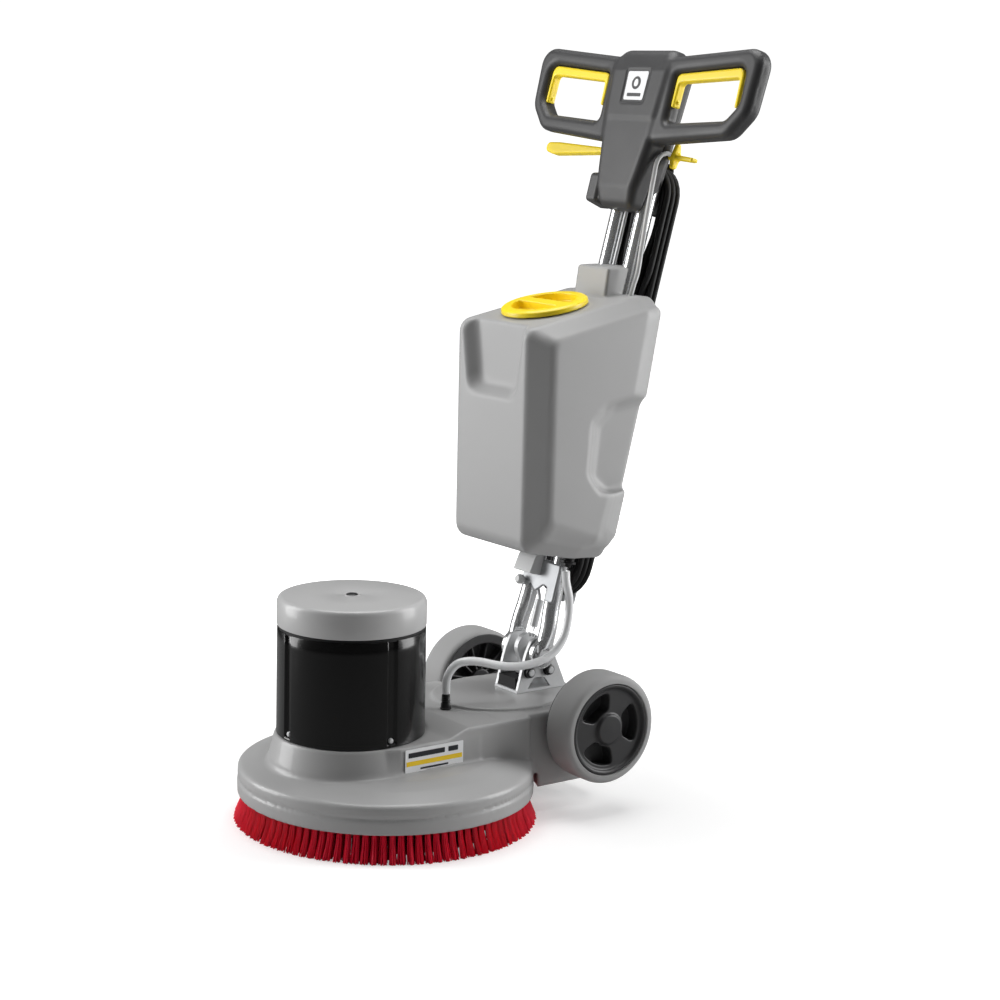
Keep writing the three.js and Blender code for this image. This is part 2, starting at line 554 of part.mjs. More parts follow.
function waterLever() {
  const bar = plateY(outline([[54, 736.5, 2], [102, 733.5, 2], [104, 738.5, 2], [54, 743, 2]], 2), -1, 10);
  const fin = plateX(outline([[-5.4, 738, 2], [-1, 722, 3], [7, 722, 3], [10, 740, 2], [6, 757, 3], [0, 757, 3]], 2), 60, 67);
  return join(bar, fin, rod([44, 4, 740], [62, 4, 740], 5, 14));
}

function waterRod() {
  const path = [
    [61, -6.2, 740.5], [60.6, -12, 740.8], [59.5, -19, 737], [58.4, -24, 727], [57.6, -22, 700], [56.4, -12.5, 600],
    [56, -8, 566], [ROD_X, ROD_V, 540], [ROD_X, ROD_V, 186],
  ];
  const stem = pipe(path, 3.4, 8);
  return join(stem, turned([[0, 170], [6, 170], [8, 176], [8, 188], [0, 188]], 16).translate(ROD_X, ROD_V, 0));
}

function upperHook() {
  const drum = alongY(disc(19.5, 17.2, 46, 20));
  const stud = alongY(disc(6, 13.5, 18, 16));
  const lip = plateY(outline([[-15, -22, 6], [15, -22, 6], [15, 58, 10], [-15, 58, 10]], 3), 45, 49);
  return join(drum, stud, lip).translate(0, 0, HANK_HIGH);
}

const gripGeometry = grip();
const triggerGeometry = trigger();
add(handle, 'head_front_cover', headFrontCover(), headGrey);
add(handle, 'head_rear_cover', headRearCover(), headGrey);
add(handle, 'head_side_box', plateX(outline([[-30, 661, 4], [6, 655, 4], [8, 668, 4], [8, 700, 6], [-4, 709, 6], [-30, 702, 6]], 3), -78, -54), headGrey);
add(handle, 'grip_right', gripGeometry, headGrey);
add(handle, 'grip_left', mirrored(gripGeometry), headGrey);
add(handle, 'trigger_right', triggerGeometry, yellow);
add(handle, 'trigger_left', mirrored(triggerGeometry), yellow);
add(handle, 'tilt_lever', tiltLever(), yellow);
add(handle, 'water_lever', waterLever(), yellow);
add(handle, 'water_rod', waterRod(), steel);
add(handle, 'switch_block', block(-24, 24, -40, -18, 796, 846), black);
add(handle, 'safety_button', alongY(turned([[0, 12], [14, 12], [14, 12.7], [11, 12.7], [11, 22], [9, 24], [0, 24]], 16)).translate(0, 0, 800), yellow);
add(handle, 'cable_hook_upper', upperHook(), rubber);
add(handle, 'cord_gland', turned([[0, 624], [4.8, 624], [5.8, 646], [5.8, 664], [0, 664]], 16).translate(7, 2, 0), rubber);

// ---- Solution tank ------------------------------------------------------------------------------
// Corners of the side outline as [y, z, radius, half width]: between the broad chamfers, at the bend, and the side face.
const tankBody = [
  [-78.5, 166, 20, TANK_FRONT_X], [-78.5, 478.6, 22, TANK_FRONT_X], [117, 517.6, 10, TANK_FRONT_X], [151.5, 518, 12, TANK_FRONT_X],
  [128.5, 382, 40, TANK_FRONT_X], [75, 164, 14, TANK_FRONT_X], [67, 144, 10, TANK_FRONT_X], [15.6, 147.2, 16, TANK_FRONT_X],
];
const tankBend = [
  [-59.5, 184, 18, TANK_BEND_X], [-59.5, 467, 20, TANK_BEND_X], [117, 503, 8, TANK_BEND_X], [150.5, 504, 8, TANK_BEND_X],
  [128, 382, 40, TANK_BEND_X], [78, 178, 12, TANK_BEND_X], [63, 164, 8, TANK_BEND_X], [15, 166, 10, TANK_BEND_X],
];
const tankSide = [
  [-49.5, 205, 12, TANK_SIDE_X], [-49.5, 462.5, 14, TANK_SIDE_X], [113, 495.4, 3, TANK_SIDE_X], [122, 498, 3, TANK_SIDE_X],
  [99, 377, 30, TANK_SIDE_X], [45, 194, 8, TANK_SIDE_X], [39, 177.5, 5, TANK_SIDE_X], [-33, 203, 6, TANK_SIDE_X],
];

// Outlines along X, given from the +X end to the -X end, skinned over.
function lofted(...outlines) {
  return loft(outlines.map(([x, corners]) => roundedCorners(corners, 3).map((p) => new THREE.Vector3(x, p.x, p.y))));
}

const tankLoft = () => lofted(
  [-TANK_SIDE_X, tankSide], [-TANK_BEND_X, tankBend], [-TANK_FRONT_X, tankBody],
  [TANK_FRONT_X, tankBody], [TANK_BEND_X, tankBend], [TANK_SIDE_X, tankSide],
);

const mastAxes = (geometry) => geometry.rotateX(-LEAN);    // from mast axes into the upright tank frame
const fillerCentre = new THREE.Vector3(0, 14.7, 497.1);
const onFiller = (geometry) => geometry.rotateX(TANK_TOP_TILT).translate(fillerCentre.x, fillerCentre.y, fillerCentre.z);

// The hand recess on each side and the scoop in the front, grown by a wall thickness for the inside of the tank.
function tankRecesses(g) {
  const floor = [
    [150, 371 + g, 1], [106, 365 + g, 8], [72 - g, 361 + g, 10], [44 - g, 338, 12], [36 - g, 264, 12], [60 - g, 244 - g, 10],
    [91, 246 - g, 8], [150, 242 - g, 1],
  ];
  const edge = [
    [150, 386 + g, 1], [93, 379 + g, 8], [45 - g, 371 + g, 10], [21 - g, 347, 12], [16 - g, 272, 12], [39 - g, 244 - g, 10],
    [79, 240 - g, 8], [150, 236 - g, 1],
  ];
  const hand = lofted([90 - g, floor], [108, edge], [116, edge]);
  const scoopFloor = [[-57 - g, 478, 2], [-44 - g, 391 - g, 12], [44 + g, 391 - g, 12], [57 + g, 478, 2], [57 + g, 530, 2], [-57 - g, 530, 2]];
  const scoopEdge = [[-70 - g, 478, 2], [-57 - g, 378 - g, 14], [57 + g, 378 - g, 14], [70 + g, 478, 2], [70 + g, 530, 2], [-70 - g, 530, 2]];
  const scoop = lofted([60.5 - g, scoopFloor], [78.5, scoopEdge], [90, scoopEdge]).rotateZ(-Math.PI / 2);
  return [hand, mirrored(hand), scoop];
}

function waterTank() {
  const neck = plateX(outline([[92, 496, 2], [103.5, 557, 4], [150, 557, 4], [150, 490, 2]], 2), -35, 35);
  const channel = (grow) => mastAxes(join(
    block(-CHANNEL_X - grow, CHANNEL_X + grow, CHANNEL_V - grow, 60, 60, 640),
    block(-HANK_CHANNEL_X - grow, HANK_CHANNEL_X + grow, HANK_CHANNEL_V - grow, 60, 60, 640),
  ));
  const rodHole = mastAxes(rod([ROD_X, ROD_V, 476], [ROD_X, ROD_V, 570], 8));
  const leftNotch = mastAxes(rod([-ROD_X, -10, 528], [-ROD_X, -10, 570], 7));
  const outlet = mastAxes(rod([ROD_X, ROD_V, 120], [ROD_X, ROD_V, 190], 9.5));
  const filler = onFiller(disc(50, -30, 30, 28));
  const inner = tankLoft().translate(0, -36, -331).scale(0.962, 0.955, 0.976).translate(0, 36, 331);
  const cavity = cut(inner, channel(TANK_WALL), ...tankRecesses(TANK_WALL));
  return cut(join(tankLoft(), neck), channel(0), ...tankRecesses(0), cavity, rodHole, leftNotch, outlet, filler);
}

function fillerCap() {
  const body = turned([[0, -10], [49, -10], [49, 2.6], [61, 2.6], [61, 6.5], [58, 9], [0, 9]], 28);
  const pocket = (side) => {
    const shape = new THREE.Shape();
    const edge = 0.22;
    shape.absarc(0, 0, 44, edge, Math.PI - edge, false);
    shape.closePath();
    return plate(shape, -6, 12).rotateZ(side > 0 ? 0 : Math.PI);
  };
  return onFiller(cut(body, pocket(1), pocket(-1)));
}

function valveBody() {
  return join(
    turned([[3.6, 146], [3.6, 132], [5.6, 132], [6.4, 137], [12, 138], [12, 141], [9, 142], [9, 167], [6.6, 167], [6.6, 150]].reverse(), 16)
      .translate(ROD_X, ROD_V, 0),
  );
}

add(tankFrame, 'water_tank', waterTank(), tankGrey);
add(tankFrame, 'filler_seal', onFiller(ring(51, 56, 0.3, 2.3, 24)), rubber);
add(tankFrame, 'filler_cap', fillerCap(), yellow);
add(handle, 'valve_body', valveBody(), black);

// ---- Mains cord and hose ------------------------------------------------------------------------
function cordHank() {
  const outerRadius = HANK_BEND + (HANK_COLUMNS - 0.5) * CORD_DIAMETER;
  const innerRadius = HANK_BEND - CORD_DIAMETER / 2;
  const racetrack = (radius, path) => {
    path.absarc(0, HANK_HIGH, radius, 0, Math.PI, false);
    path.absarc(0, HANK_LOW, radius, Math.PI, 2 * Math.PI, false);
    path.closePath();
    return path;
  };
  const shape = racetrack(outerRadius, new THREE.Shape());
  shape.holes.push(racetrack(innerRadius, new THREE.Path()));
  return plateY(shape, HANK_V, HANK_V + HANK_LAYERS * CORD_DIAMETER);
}

// The lead runs from the gland down between the tubes and joins the innermost turn; the tail leaves the back of the
// hank and ends in the plug, which is clipped across both runs.
const cordLead = [
  [7, 2, 623.7], [7, 2, 605], [6.6, 4, 586], [5, 9, 568], [1, 15, 550], [-5, 19.5, 532], [-11, 21.8, 512], [-15.4, 22, 486],
  [-17.6, 22, 460], [-17.6, 22, 430], [-17.6, 22, 400],
];
const cordTail = [
  [36, 48.9, 250], [36, 48.9, 275], [36, 49.2, 300], [34, 50.5, 322], [28, 53, 342], [19, 56, 358], [10, 58, 371],
  [2, 59, 381], [0, 59, 389], [0, 59, 394.6],
];

function mainsPlug() {
  const body = turned([[0, 395], [6.5, 395], [8, 420], [15, 426], [18, 440], [18, 452], [0, 452]], 20);
  const pins = [-9.5, 9.5].map((x) => rod([x, 0, 450], [x, 0, 471], 2.4, 10));
  const clip = block(-34, 34, -14.6, -9, 428, 442);
  return cut(join(body, ...pins, clip), block(-40, 40, -30, -14.6, 380, 480)).translate(0, 59, 0);
}

add(handle, 'cord_hank', cordHank(), rubber);
add(handle, 'cord_lead', pipe(cordLead, CORD_DIAMETER / 2, 8), rubber);
add(handle, 'cord_tail', pipe(cordTail, CORD_DIAMETER / 2, 8), rubber);
add(handle, 'mains_plug', mainsPlug(), rubber);
add(machine, 'water_hose', pipe([
  [56, 130.6, 333], [57, 131, 318], [58, 137, 290], [60, 134, 261], [62, 125, 236], [64, 107, 218], [64, 82, 208],
  [60, 58, 204], [54, 36, 204], [48, 14, 208], [42, -8, 214], [36, -25, 216], [30, -38, 213], [25, -46, 204], [22, -51, 192],
  [20, -51, 180], [20, -51, 169],
], HOSE_DIAMETER / 2, 10), clearHose);

export default machine;
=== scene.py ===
"""Single-disc floor scrubber: the visual model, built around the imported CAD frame. Lengths in the builders are
millimetres, in the row frame or in the mast's own axes, and become metres when a mesh is made."""
import math

import bmesh
import bpy
import numpy as np
import openvdb as vdb
from mathutils import Matrix, Vector


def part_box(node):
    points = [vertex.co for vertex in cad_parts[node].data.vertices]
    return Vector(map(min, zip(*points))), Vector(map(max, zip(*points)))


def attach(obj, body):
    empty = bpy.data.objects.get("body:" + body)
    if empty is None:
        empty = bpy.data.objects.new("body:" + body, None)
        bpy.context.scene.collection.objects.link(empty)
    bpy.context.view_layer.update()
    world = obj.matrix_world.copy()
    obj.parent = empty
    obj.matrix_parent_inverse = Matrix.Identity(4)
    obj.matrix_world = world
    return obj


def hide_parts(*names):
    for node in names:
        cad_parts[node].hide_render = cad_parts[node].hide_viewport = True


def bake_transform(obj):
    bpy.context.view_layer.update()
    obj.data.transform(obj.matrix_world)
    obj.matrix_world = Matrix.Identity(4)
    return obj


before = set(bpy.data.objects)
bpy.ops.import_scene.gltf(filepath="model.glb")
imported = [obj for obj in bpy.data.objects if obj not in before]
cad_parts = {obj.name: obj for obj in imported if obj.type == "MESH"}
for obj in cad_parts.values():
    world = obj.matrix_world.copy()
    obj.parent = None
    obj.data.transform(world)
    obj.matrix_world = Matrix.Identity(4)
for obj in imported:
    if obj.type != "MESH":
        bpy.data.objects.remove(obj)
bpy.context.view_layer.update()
MM = 0.001


# ---- Places, read from the frame ------------------------------------------------------------------------------------
def node_box(node):
    low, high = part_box(node)
    return np.array(low) / MM, np.array(high) / MM


def node_middle(node):
    low, high = node_box(node)
    return (low + high) / 2


BRUSH = node_middle("brush_bristles")
BRUSH_RADIUS = (node_box("brush_bristles")[1] - node_box("brush_bristles")[0])[0] / 2
MOTOR = node_middle("motor_shaft")
MOTOR_BOTTOM = node_box("motor_shell")[0][2]
SHELL_TOP = node_box("motor_shell")[1][2]
PIVOT = node_middle("pivot_pin")
WHEEL = {side: node_middle(f"wheel_tyre_{side}") for side in ("right", "left")}
# Heights on the deck: the lower edge of the skirt, the tier behind the motor and the oval pad on it.
SKIRT_BOTTOM, DECK_TOP, PAD_TOP = 39.0, 146.0, 152.0
LEAN = math.radians(15)
TUBE_X = 28.0
TUBE_RADIUS = 12.5
TUBE_TOP = 716.0
CORD_D = 9.0
HOSE_D = 12.0
# The head across the mast: its front, the split between its covers, its back, and the back of the grips.
HEAD_FRONT, HEAD_SPLIT, HEAD_BACK, GRIP_BACK = -48.0, -14.0, 16.0, -16.0
# The wound cord: the middles of its two bends along the mast, and the plane behind the mast that it starts from.
HANK_LOW, HANK_HIGH, HANK_V = 137.0, 680.0, 17.0
# The filler on the tank, and the slope of the surface round it.
FILLER = np.array([0, 123.7, 705.1])
FILLER_TILT = math.atan(0.1995)
ROD_X, ROD_V = 56.0, -12.0

# The mast's own axes: x across, v across the mast (rearward), w along it, from the pivot.
MAST = Matrix.Translation(Vector(PIVOT)) @ Matrix.Rotation(-LEAN, 4, "X")
MAST_TURN = np.array(MAST.to_3x3())
MAST_PLACE = np.array(MAST.translation)


def from_mast(points):
    return np.asarray(points, float) @ MAST_TURN.T + MAST_PLACE


def metres(points):
    return [tuple(p) for p in np.asarray(points, float) * MM]


# ---- Materials ------------------------------------------------------------------------------------------------------
def srgb(r, g, b):
    def line(c):
        c /= 255
        return c / 12.92 if c <= 0.04045 else ((c + 0.055) / 1.055) ** 2.4

    return (line(r), line(g), line(b), 1)


def scaled(color, k):
    return tuple(min(1, c * k) for c in color[:3]) + (1,)


def wire(tree, node, **inputs):
    """Sets inputs of a node by name: a socket is linked, anything else is a value."""
    for key, value in inputs.items():
        socket = node.inputs[key.replace("_", " ")]
        if isinstance(value, bpy.types.NodeSocket):
            tree.links.new(value, socket)
        else:
            socket.default_value = value
    return node


def add(tree, kind, modes=(), **inputs):
    """A new shader node with its modes and inputs set."""
    node = tree.nodes.new("ShaderNode" + kind)
    for key, value in dict(modes).items():
        setattr(node, key, value)
    return wire(tree, node, **inputs)


def mixed(tree, factor, low, high):
    """A colour between two, by a factor."""
    return add(tree, "Mix", {"data_type": "RGBA"}, Factor=factor, A=low, B=high).outputs["Result"]


def spread(tree, factor, low, high):
    """A number between two, by a factor."""
    return add(tree, "MapRange", Value=factor, To_Min=low, To_Max=high).outputs["Result"]


def chosen(tree, factor, first, second):
    """The first shader where the factor is 0, the second where it is 1."""
    node = add(tree, "MixShader", Fac=factor)
    tree.links.new(first, node.inputs[1])
    tree.links.new(second, node.inputs[2])
    return node.outputs["Shader"]


def new_material(name):
    material = bpy.data.materials.new(name)
    material.use_nodes = True
    tree = material.node_tree
    return material, tree, tree.nodes["Principled BSDF"], add(tree, "TexCoord").outputs["Object"]


def surface(name, color, roughness, metallic=0.0, coat=0.0, grain=0.0, grain_size=0.4, mottle=0.06, mottle_size=40,
            rough_spread=0.08, specular=0.5):
    """A painted, moulded or metal surface: colour and roughness that vary slowly, and a fine grain in the bump. Sizes
    are in millimetres."""
    material, tree, shader, place = new_material(name)
    slow = add(tree, "TexNoise", Scale=1000 / mottle_size, Detail=5, Vector=place).outputs["Fac"]
    wire(tree, shader, Metallic=metallic, Specular_IOR_Level=specular, Coat_Weight=coat, Coat_Roughness=0.08,
         Base_Color=mixed(tree, slow, scaled(color, 1 - mottle), scaled(color, 1 + mottle)),
         Roughness=spread(tree, slow, max(0.02, roughness - rough_spread), min(1, roughness + rough_spread)))
    if grain > 0:
        fine = add(tree, "TexNoise", Scale=1000 / grain_size, Detail=3, Vector=place).outputs["Fac"]
        bump = add(tree, "Bump", Strength=1, Distance=grain * MM, Height=fine)
        wire(tree, shader, Normal=bump.outputs["Normal"])
    return material


def lined(tree, place, stretch, **noise):
    """A noise drawn out along the axes where stretch is small."""
    mapped = add(tree, "Mapping", Scale=stretch, Vector=place).outputs["Vector"]
    return add(tree, "TexNoise", Vector=mapped, **noise).outputs["Fac"]


def bristle_material():
    """Nylon bristles: each strand has its own shade."""
    material, tree, shader, place = new_material("red_bristle")
    strand = lined(tree, place, (1, 1, 0.03), Scale=600)
    wire(tree, shader, Base_Color=mixed(tree, strand, srgb(212, 10, 42), srgb(254, 34, 72)), Roughness=0.42,
         Specular_IOR_Level=0.55, Subsurface_Weight=0.08, Subsurface_Scale=0.002)
    return material


def brushed_material(name, color, roughness, stretch, metallic=1):
    """Drawn or turned metal with fine lines along one direction."""
    material, tree, shader, place = new_material(name)
    lines = lined(tree, place, stretch, Scale=900, Detail=4)
    wire(tree, shader, Base_Color=mixed(tree, lines, scaled(color, 0.9), scaled(color, 1.08)), Metallic=metallic,
         Roughness=spread(tree, lines, max(0.03, roughness - 0.1), roughness + 0.12))
    return material


DECK_GREY = surface("deck_grey_paint", srgb(163, 163, 163), 0.42, coat=0.2, grain=0.02, grain_size=1.2, mottle=0.03)
# The motor cap's grey is the deck paint made lighter: painted light on the top of the motor.
CAP_GREY_PAINTED_LIGHT = surface("cap_grey_paint_painted_light", srgb(176, 176, 176), 0.4, coat=0.2, grain=0.02, grain_size=1.2, mottle=0.03)
TANK_GREY = surface("tank_grey_polyethylene", srgb(163, 163, 163), 0.46, grain=0.035, grain_size=1.6, mottle=0.035,
                    mottle_size=70)
HEAD_GREY = surface("head_dark_plastic", srgb(60, 60, 61), 0.46, grain=0.05, grain_size=0.7, mottle=0.05)
RIM_GREY = surface("rim_dark_plastic", srgb(50, 50, 51), 0.4, grain=0.03, grain_size=0.8)
MOTOR_BLACK = surface("motor_gloss_black", srgb(9, 9, 9), 0.24, coat=0.3, grain=0.012, grain_size=2.5, mottle=0.1,
                      rough_spread=0.04, specular=0.3)
BLACK_PLASTIC = surface("black_plastic", srgb(26, 26, 27), 0.42, grain=0.03, grain_size=0.8, mottle=0.1)
BLACK_RUBBER = surface("black_rubber", srgb(24, 24, 25), 0.62, grain=0.04, grain_size=0.6, mottle=0.12, specular=0.35)
TYRE_GREY = surface("tyre_grey_rubber", srgb(151, 151, 151), 0.62, grain=0.06, grain_size=0.6, mottle=0.05,
                    specular=0.35)
YELLOW = surface("signal_yellow_plastic", srgb(254, 224, 38), 0.36, grain=0.015, grain_size=0.9, mottle=0.03)
RED_BRISTLE = bristle_material()
BLOCK = surface("brush_block_polypropylene", srgb(196, 190, 176), 0.5, grain=0.04, grain_size=1.5)
PALE_PLASTIC = surface("pale_plastic", srgb(205, 206, 206), 0.42, grain=0.02, grain_size=0.8)
CHROME = surface("chrome_plate", srgb(236, 237, 238), 0.2, metallic=0.8, mottle=0.015, rough_spread=0.03)
ZINC = brushed_material("zinc_plated_steel", srgb(200, 201, 202), 0.46, (1, 1, 1), 0.5)
CAST = surface("cast_aluminium", srgb(186, 188, 190), 0.42, metallic=1, grain=0.05, grain_size=1.0, mottle=0.06)
TURNED = brushed_material("turned_steel", srgb(180, 182, 184), 0.28, (1, 1, 0.05))
PAINTED_STEEL = surface("bracket_painted_steel", srgb(168, 170, 172), 0.4, metallic=0.35, grain=0.03, grain_size=1.0)
WINDING = surface("winding_copper", srgb(168, 96, 52), 0.4, metallic=0.8, grain=0.1, grain_size=1.0)
LABEL_WHITE = surface("label_white", srgb(236, 237, 238), 0.3, coat=0.3, mottle=0.01)
LABEL_DARK = surface("label_dark", srgb(34, 36, 40), 0.35, mottle=0.02)
LABEL_YELLOW = surface("label_yellow", srgb(244, 205, 30), 0.32, mottle=0.01)
HOSE_CLEAR = surface("hose_clear_pvc", srgb(240, 241, 242), 0.24, mottle=0.02, mottle_size=15, coat=0.3)


# ---- Solids from distance fields ------------------------------------------------------------------------------------
class Field:
    """A box of sample points; the shapes below are signed distances on it, in millimetres, negative inside."""

    def __init__(self, low, high, step):
        self.low, self.step = np.array(low, float), step
        counts = np.ceil((np.array(high, float) - self.low) / step).astype(int) + 1
        axes = [(self.low[i] + step * np.arange(counts[i])).astype(np.float32) for i in range(3)]
        self.x = axes[0][:, None, None]
        self.y = axes[1][None, :, None]
        self.z = axes[2][None, None, :]


def smooth_max(a, b, k):
    if k <= 0:
        return np.maximum(a, b)
    h = np.maximum(k - np.abs(a - b), 0) / k
    return np.maximum(a, b) + h * h * k * np.float32(0.25)


def smooth_min(a, b, k):
    return -smooth_max(-a, -b, k)


def smooth_cut(a, b, k):
    return smooth_max(a, -b, k)


def polygon(px, py, points):
    """Signed distance to a closed outline, on any arrays that broadcast together."""
    px, py = np.broadcast_arrays(np.asarray(px, np.float32), np.asarray(py, np.float32))
    best = np.full(px.shape, 1e12, np.float32)
    inside = np.zeros(px.shape, bool)
    count = len(points)
    for i in range(count):
        ax, ay = points[i]
        bx, by = points[(i + 1) % count]
        ex, ey = bx - ax, by - ay
        size = ex * ex + ey * ey
        if size < 1e-12:
            continue
        wx, wy = px - ax, py - ay
        t = np.clip((wx * ex + wy * ey) / size, 0, 1)
        best = np.minimum(best, (wx - ex * t) ** 2 + (wy - ey * t) ** 2)
        crosses = (ay > py) != (by > py)
        with np.errstate(divide="ignore", invalid="ignore"):
            side = px < ex * (py - ay) / (ey if ey else 1e-9) + ax
        inside ^= crosses & side
    return np.where(inside, -np.sqrt(best), np.sqrt(best))


def rounded(corners, steps=7):
    """Corners [x, y, radius] joined by true arcs."""
    points = []
    count = len(corners)
    for i, (x, y, r) in enumerate(corners):
        here = np.array([x, y], float)
        back = np.array(corners[i - 1][:2], float) - here
        ahead = np.array(corners[(i + 1) % count][:2], float) - here
        back_n, ahead_n = back / np.linalg.norm(back), ahead / np.linalg.norm(ahead)
        angle = math.acos(max(-1, min(1, float(back_n @ ahead_n))))
        if r <= 0 or angle > math.radians(177):
            points.append(tuple(here))
            continue
        reach = r / math.tan(angle / 2)
        middle = back_n + ahead_n
        middle /= np.linalg.norm(middle)
        centre = here + middle * (r / math.sin(angle / 2))
        start, end = here + back_n * reach, here + ahead_n * reach
        a0 = math.atan2(*(start - centre)[::-1])
        a1 = math.atan2(*(end - centre)[::-1])
        turn = (a1 - a0 + math.pi) % (2 * math.pi) - math.pi
        for k in range(steps + 1):
            a = a0 + turn * k / steps
            points.append((centre[0] + r * math.cos(a), centre[1] + r * math.sin(a)))
    return points


def slab(flat, along, low, high, edge):
    """A flat outline given thickness, with rounded edges."""
    half = (high - low) / 2
    a = flat + edge
    b = np.abs(along - np.float32((high + low) / 2)) - np.float32(half - edge)
    distance = np.minimum(np.maximum(a, b), 0) + np.sqrt(np.maximum(a, 0) ** 2 + np.maximum(b, 0) ** 2) - edge
    return distance.astype(np.float32)


def facing(field, points):
    """Signed distance to an outline in (x, z)."""
    return polygon(field.x[:, 0, :], field.z[0], points)[:, None, :]


def sideways(field, points):
    """Signed distance to an outline in (y, z)."""
    return polygon(field.y[0], field.z[0], points)[None]


def rod(field, a, b, r):
    a, b = np.array(a, float), np.array(b, float)
    d = b - a
    wx, wy, wz = field.x - a[0], field.y - a[1], field.z - a[2]
    t = np.clip((wx * d[0] + wy * d[1] + wz * d[2]) / float(d @ d), 0, 1)
    return (np.sqrt((wx - d[0] * t) ** 2 + (wy - d[1] * t) ** 2 + (wz - d[2] * t) ** 2) - r).astype(np.float32)


def brick(field, low, high, edge=0.0):
    q = []
    for axis, lo, hi in zip((field.x, field.y, field.z), low, high):
        q.append(np.abs(axis - (lo + hi) / 2) - (hi - lo) / 2 + edge)
    outside = np.sqrt(np.maximum(q[0], 0) ** 2 + np.maximum(q[1], 0) ** 2 + np.maximum(q[2], 0) ** 2)
    inside = np.minimum(np.maximum(np.maximum(q[0], q[1]), q[2]), 0)
    return (outside + inside - edge).astype(np.float32)


def skin(name, field, values, material, mast=False, mirror=False, place=None):
    """The mesh of a field's zero surface, as a smooth-shaded object in the row frame."""
    step = field.step
    grid = vdb.FloatGrid(4 * step)
    grid.copyFromArray(np.clip(values, -4 * step, 4 * step).astype(np.float32))
    points, quads = grid.convertToQuads(isovalue=0.0)
    points = points * step + field.low
    if mirror:
        points = points * np.array([-1, 1, 1])
    if place is not None:
        points = place(points)
    if mast:
        points = from_mast(points)
    mesh = bpy.data.meshes.new(name)
    mesh.from_pydata((points * MM).tolist(), [], quads[:, ::-1].tolist())
    mesh.update()
    obj = bpy.data.objects.new(name, mesh)
    bpy.context.collection.objects.link(obj)
    relax(mesh)
    finish_mesh(obj, material)
    if mirror:
        mesh.flip_normals()
    return obj


def relax(mesh):
    """Evens out the sampling steps of a field's mesh, in two rounds, without shrinking it."""
    count = len(mesh.vertices)
    co = np.empty(count * 3, np.float32)
    mesh.vertices.foreach_get("co", co)
    co = co.reshape(-1, 3).astype(np.float64)
    edges = np.empty(len(mesh.edges) * 2, np.int32)
    mesh.edges.foreach_get("vertices", edges)
    a, b = edges.reshape(-1, 2).T
    degree = np.bincount(a, minlength=count) + np.bincount(b, minlength=count)
    for pull in (0.5, -0.52) * 2:
        total = np.empty_like(co)
        for axis in range(3):
            total[:, axis] = (np.bincount(a, weights=co[b, axis], minlength=count)
                              + np.bincount(b, weights=co[a, axis], minlength=count))
        co += pull * (total / degree[:, None] - co)
    mesh.vertices.foreach_set("co", co.astype(np.float32).ravel())
    mesh.update()


# ---- Meshes in code -------------------------------------------------------------------------------------------------
def finish_mesh(obj, material, smooth=True, angle=None):
    mesh = obj.data
    mesh.materials.clear()
    mesh.materials.append(material)
    if smooth:
        mesh.shade_smooth()
    if angle is not None:
        mesh.set_sharp_from_angle(angle=math.radians(angle))
    return obj


def mesh_object(name, points, faces, material, smooth=True, angle=None):
    mesh = bpy.data.meshes.new(name)
    mesh.from_pydata(metres(points), [], [tuple(f) for f in faces])
    mesh.validate()
    mesh.update()
    obj = bpy.data.objects.new(name, mesh)
    bpy.context.collection.objects.link(obj)
    bm = bmesh.new()
    bm.from_mesh(mesh)
    bmesh.ops.remove_doubles(bm, verts=bm.verts, dist=1e-7)
    bmesh.ops.recalc_face_normals(bm, faces=bm.faces)
    bm.to_mesh(mesh)
    bm.free()
    return finish_mesh(obj, material, smooth, angle)


def fillet(profile, radii, steps=5):
    """A profile of (radius, height) points with rounded corners where a radius is given."""
    points = []
    for i, (x, y) in enumerate(profile):
        r = radii.get(i, 0)
        if r <= 0 or i == 0 or i == len(profile) - 1:
            points.append((x, y))
            continue
        corner = [(*profile[i - 1], 0), (x, y, r), (*profile[i + 1], 0)]
        points += rounded(corner, steps)[1:-1]
    return points


def spun(name, profile, material, centre=(0, 0, 0), axis="Z", segments=96, closed=False, swell=None, mast=False,
         angle=40, tilt=None):
    """A profile of (radius, height) turned about an axis. swell(angle, radius, height) may change the radius."""
    around = np.linspace(0, 2 * math.pi, segments, endpoint=False)
    rows = []
    for r, h in profile:
        radius = np.full(segments, float(r)) if swell is None else swell(around, r, h)
        rows.append(np.stack([radius * np.cos(around), radius * np.sin(around), np.full(segments, float(h))], 1))
    points = np.concatenate(rows)
    faces = []
    count = len(profile)
    for i in range(count if closed else count - 1):
        j = (i + 1) % count
        for k in range(segments):
            m = (k + 1) % segments
            faces.append((i * segments + k, i * segments + m, j * segments + m, j * segments + k))
    if axis == "X":
        points = points[:, [2, 0, 1]]
    elif axis == "Y":
        points = points[:, [1, 2, 0]]
    if tilt is not None:
        points = points @ np.array(tilt).T
    points = points + np.array(centre, float)
    if mast:
        points = from_mast(points)
    return mesh_object(name, points, faces, material, angle=angle)


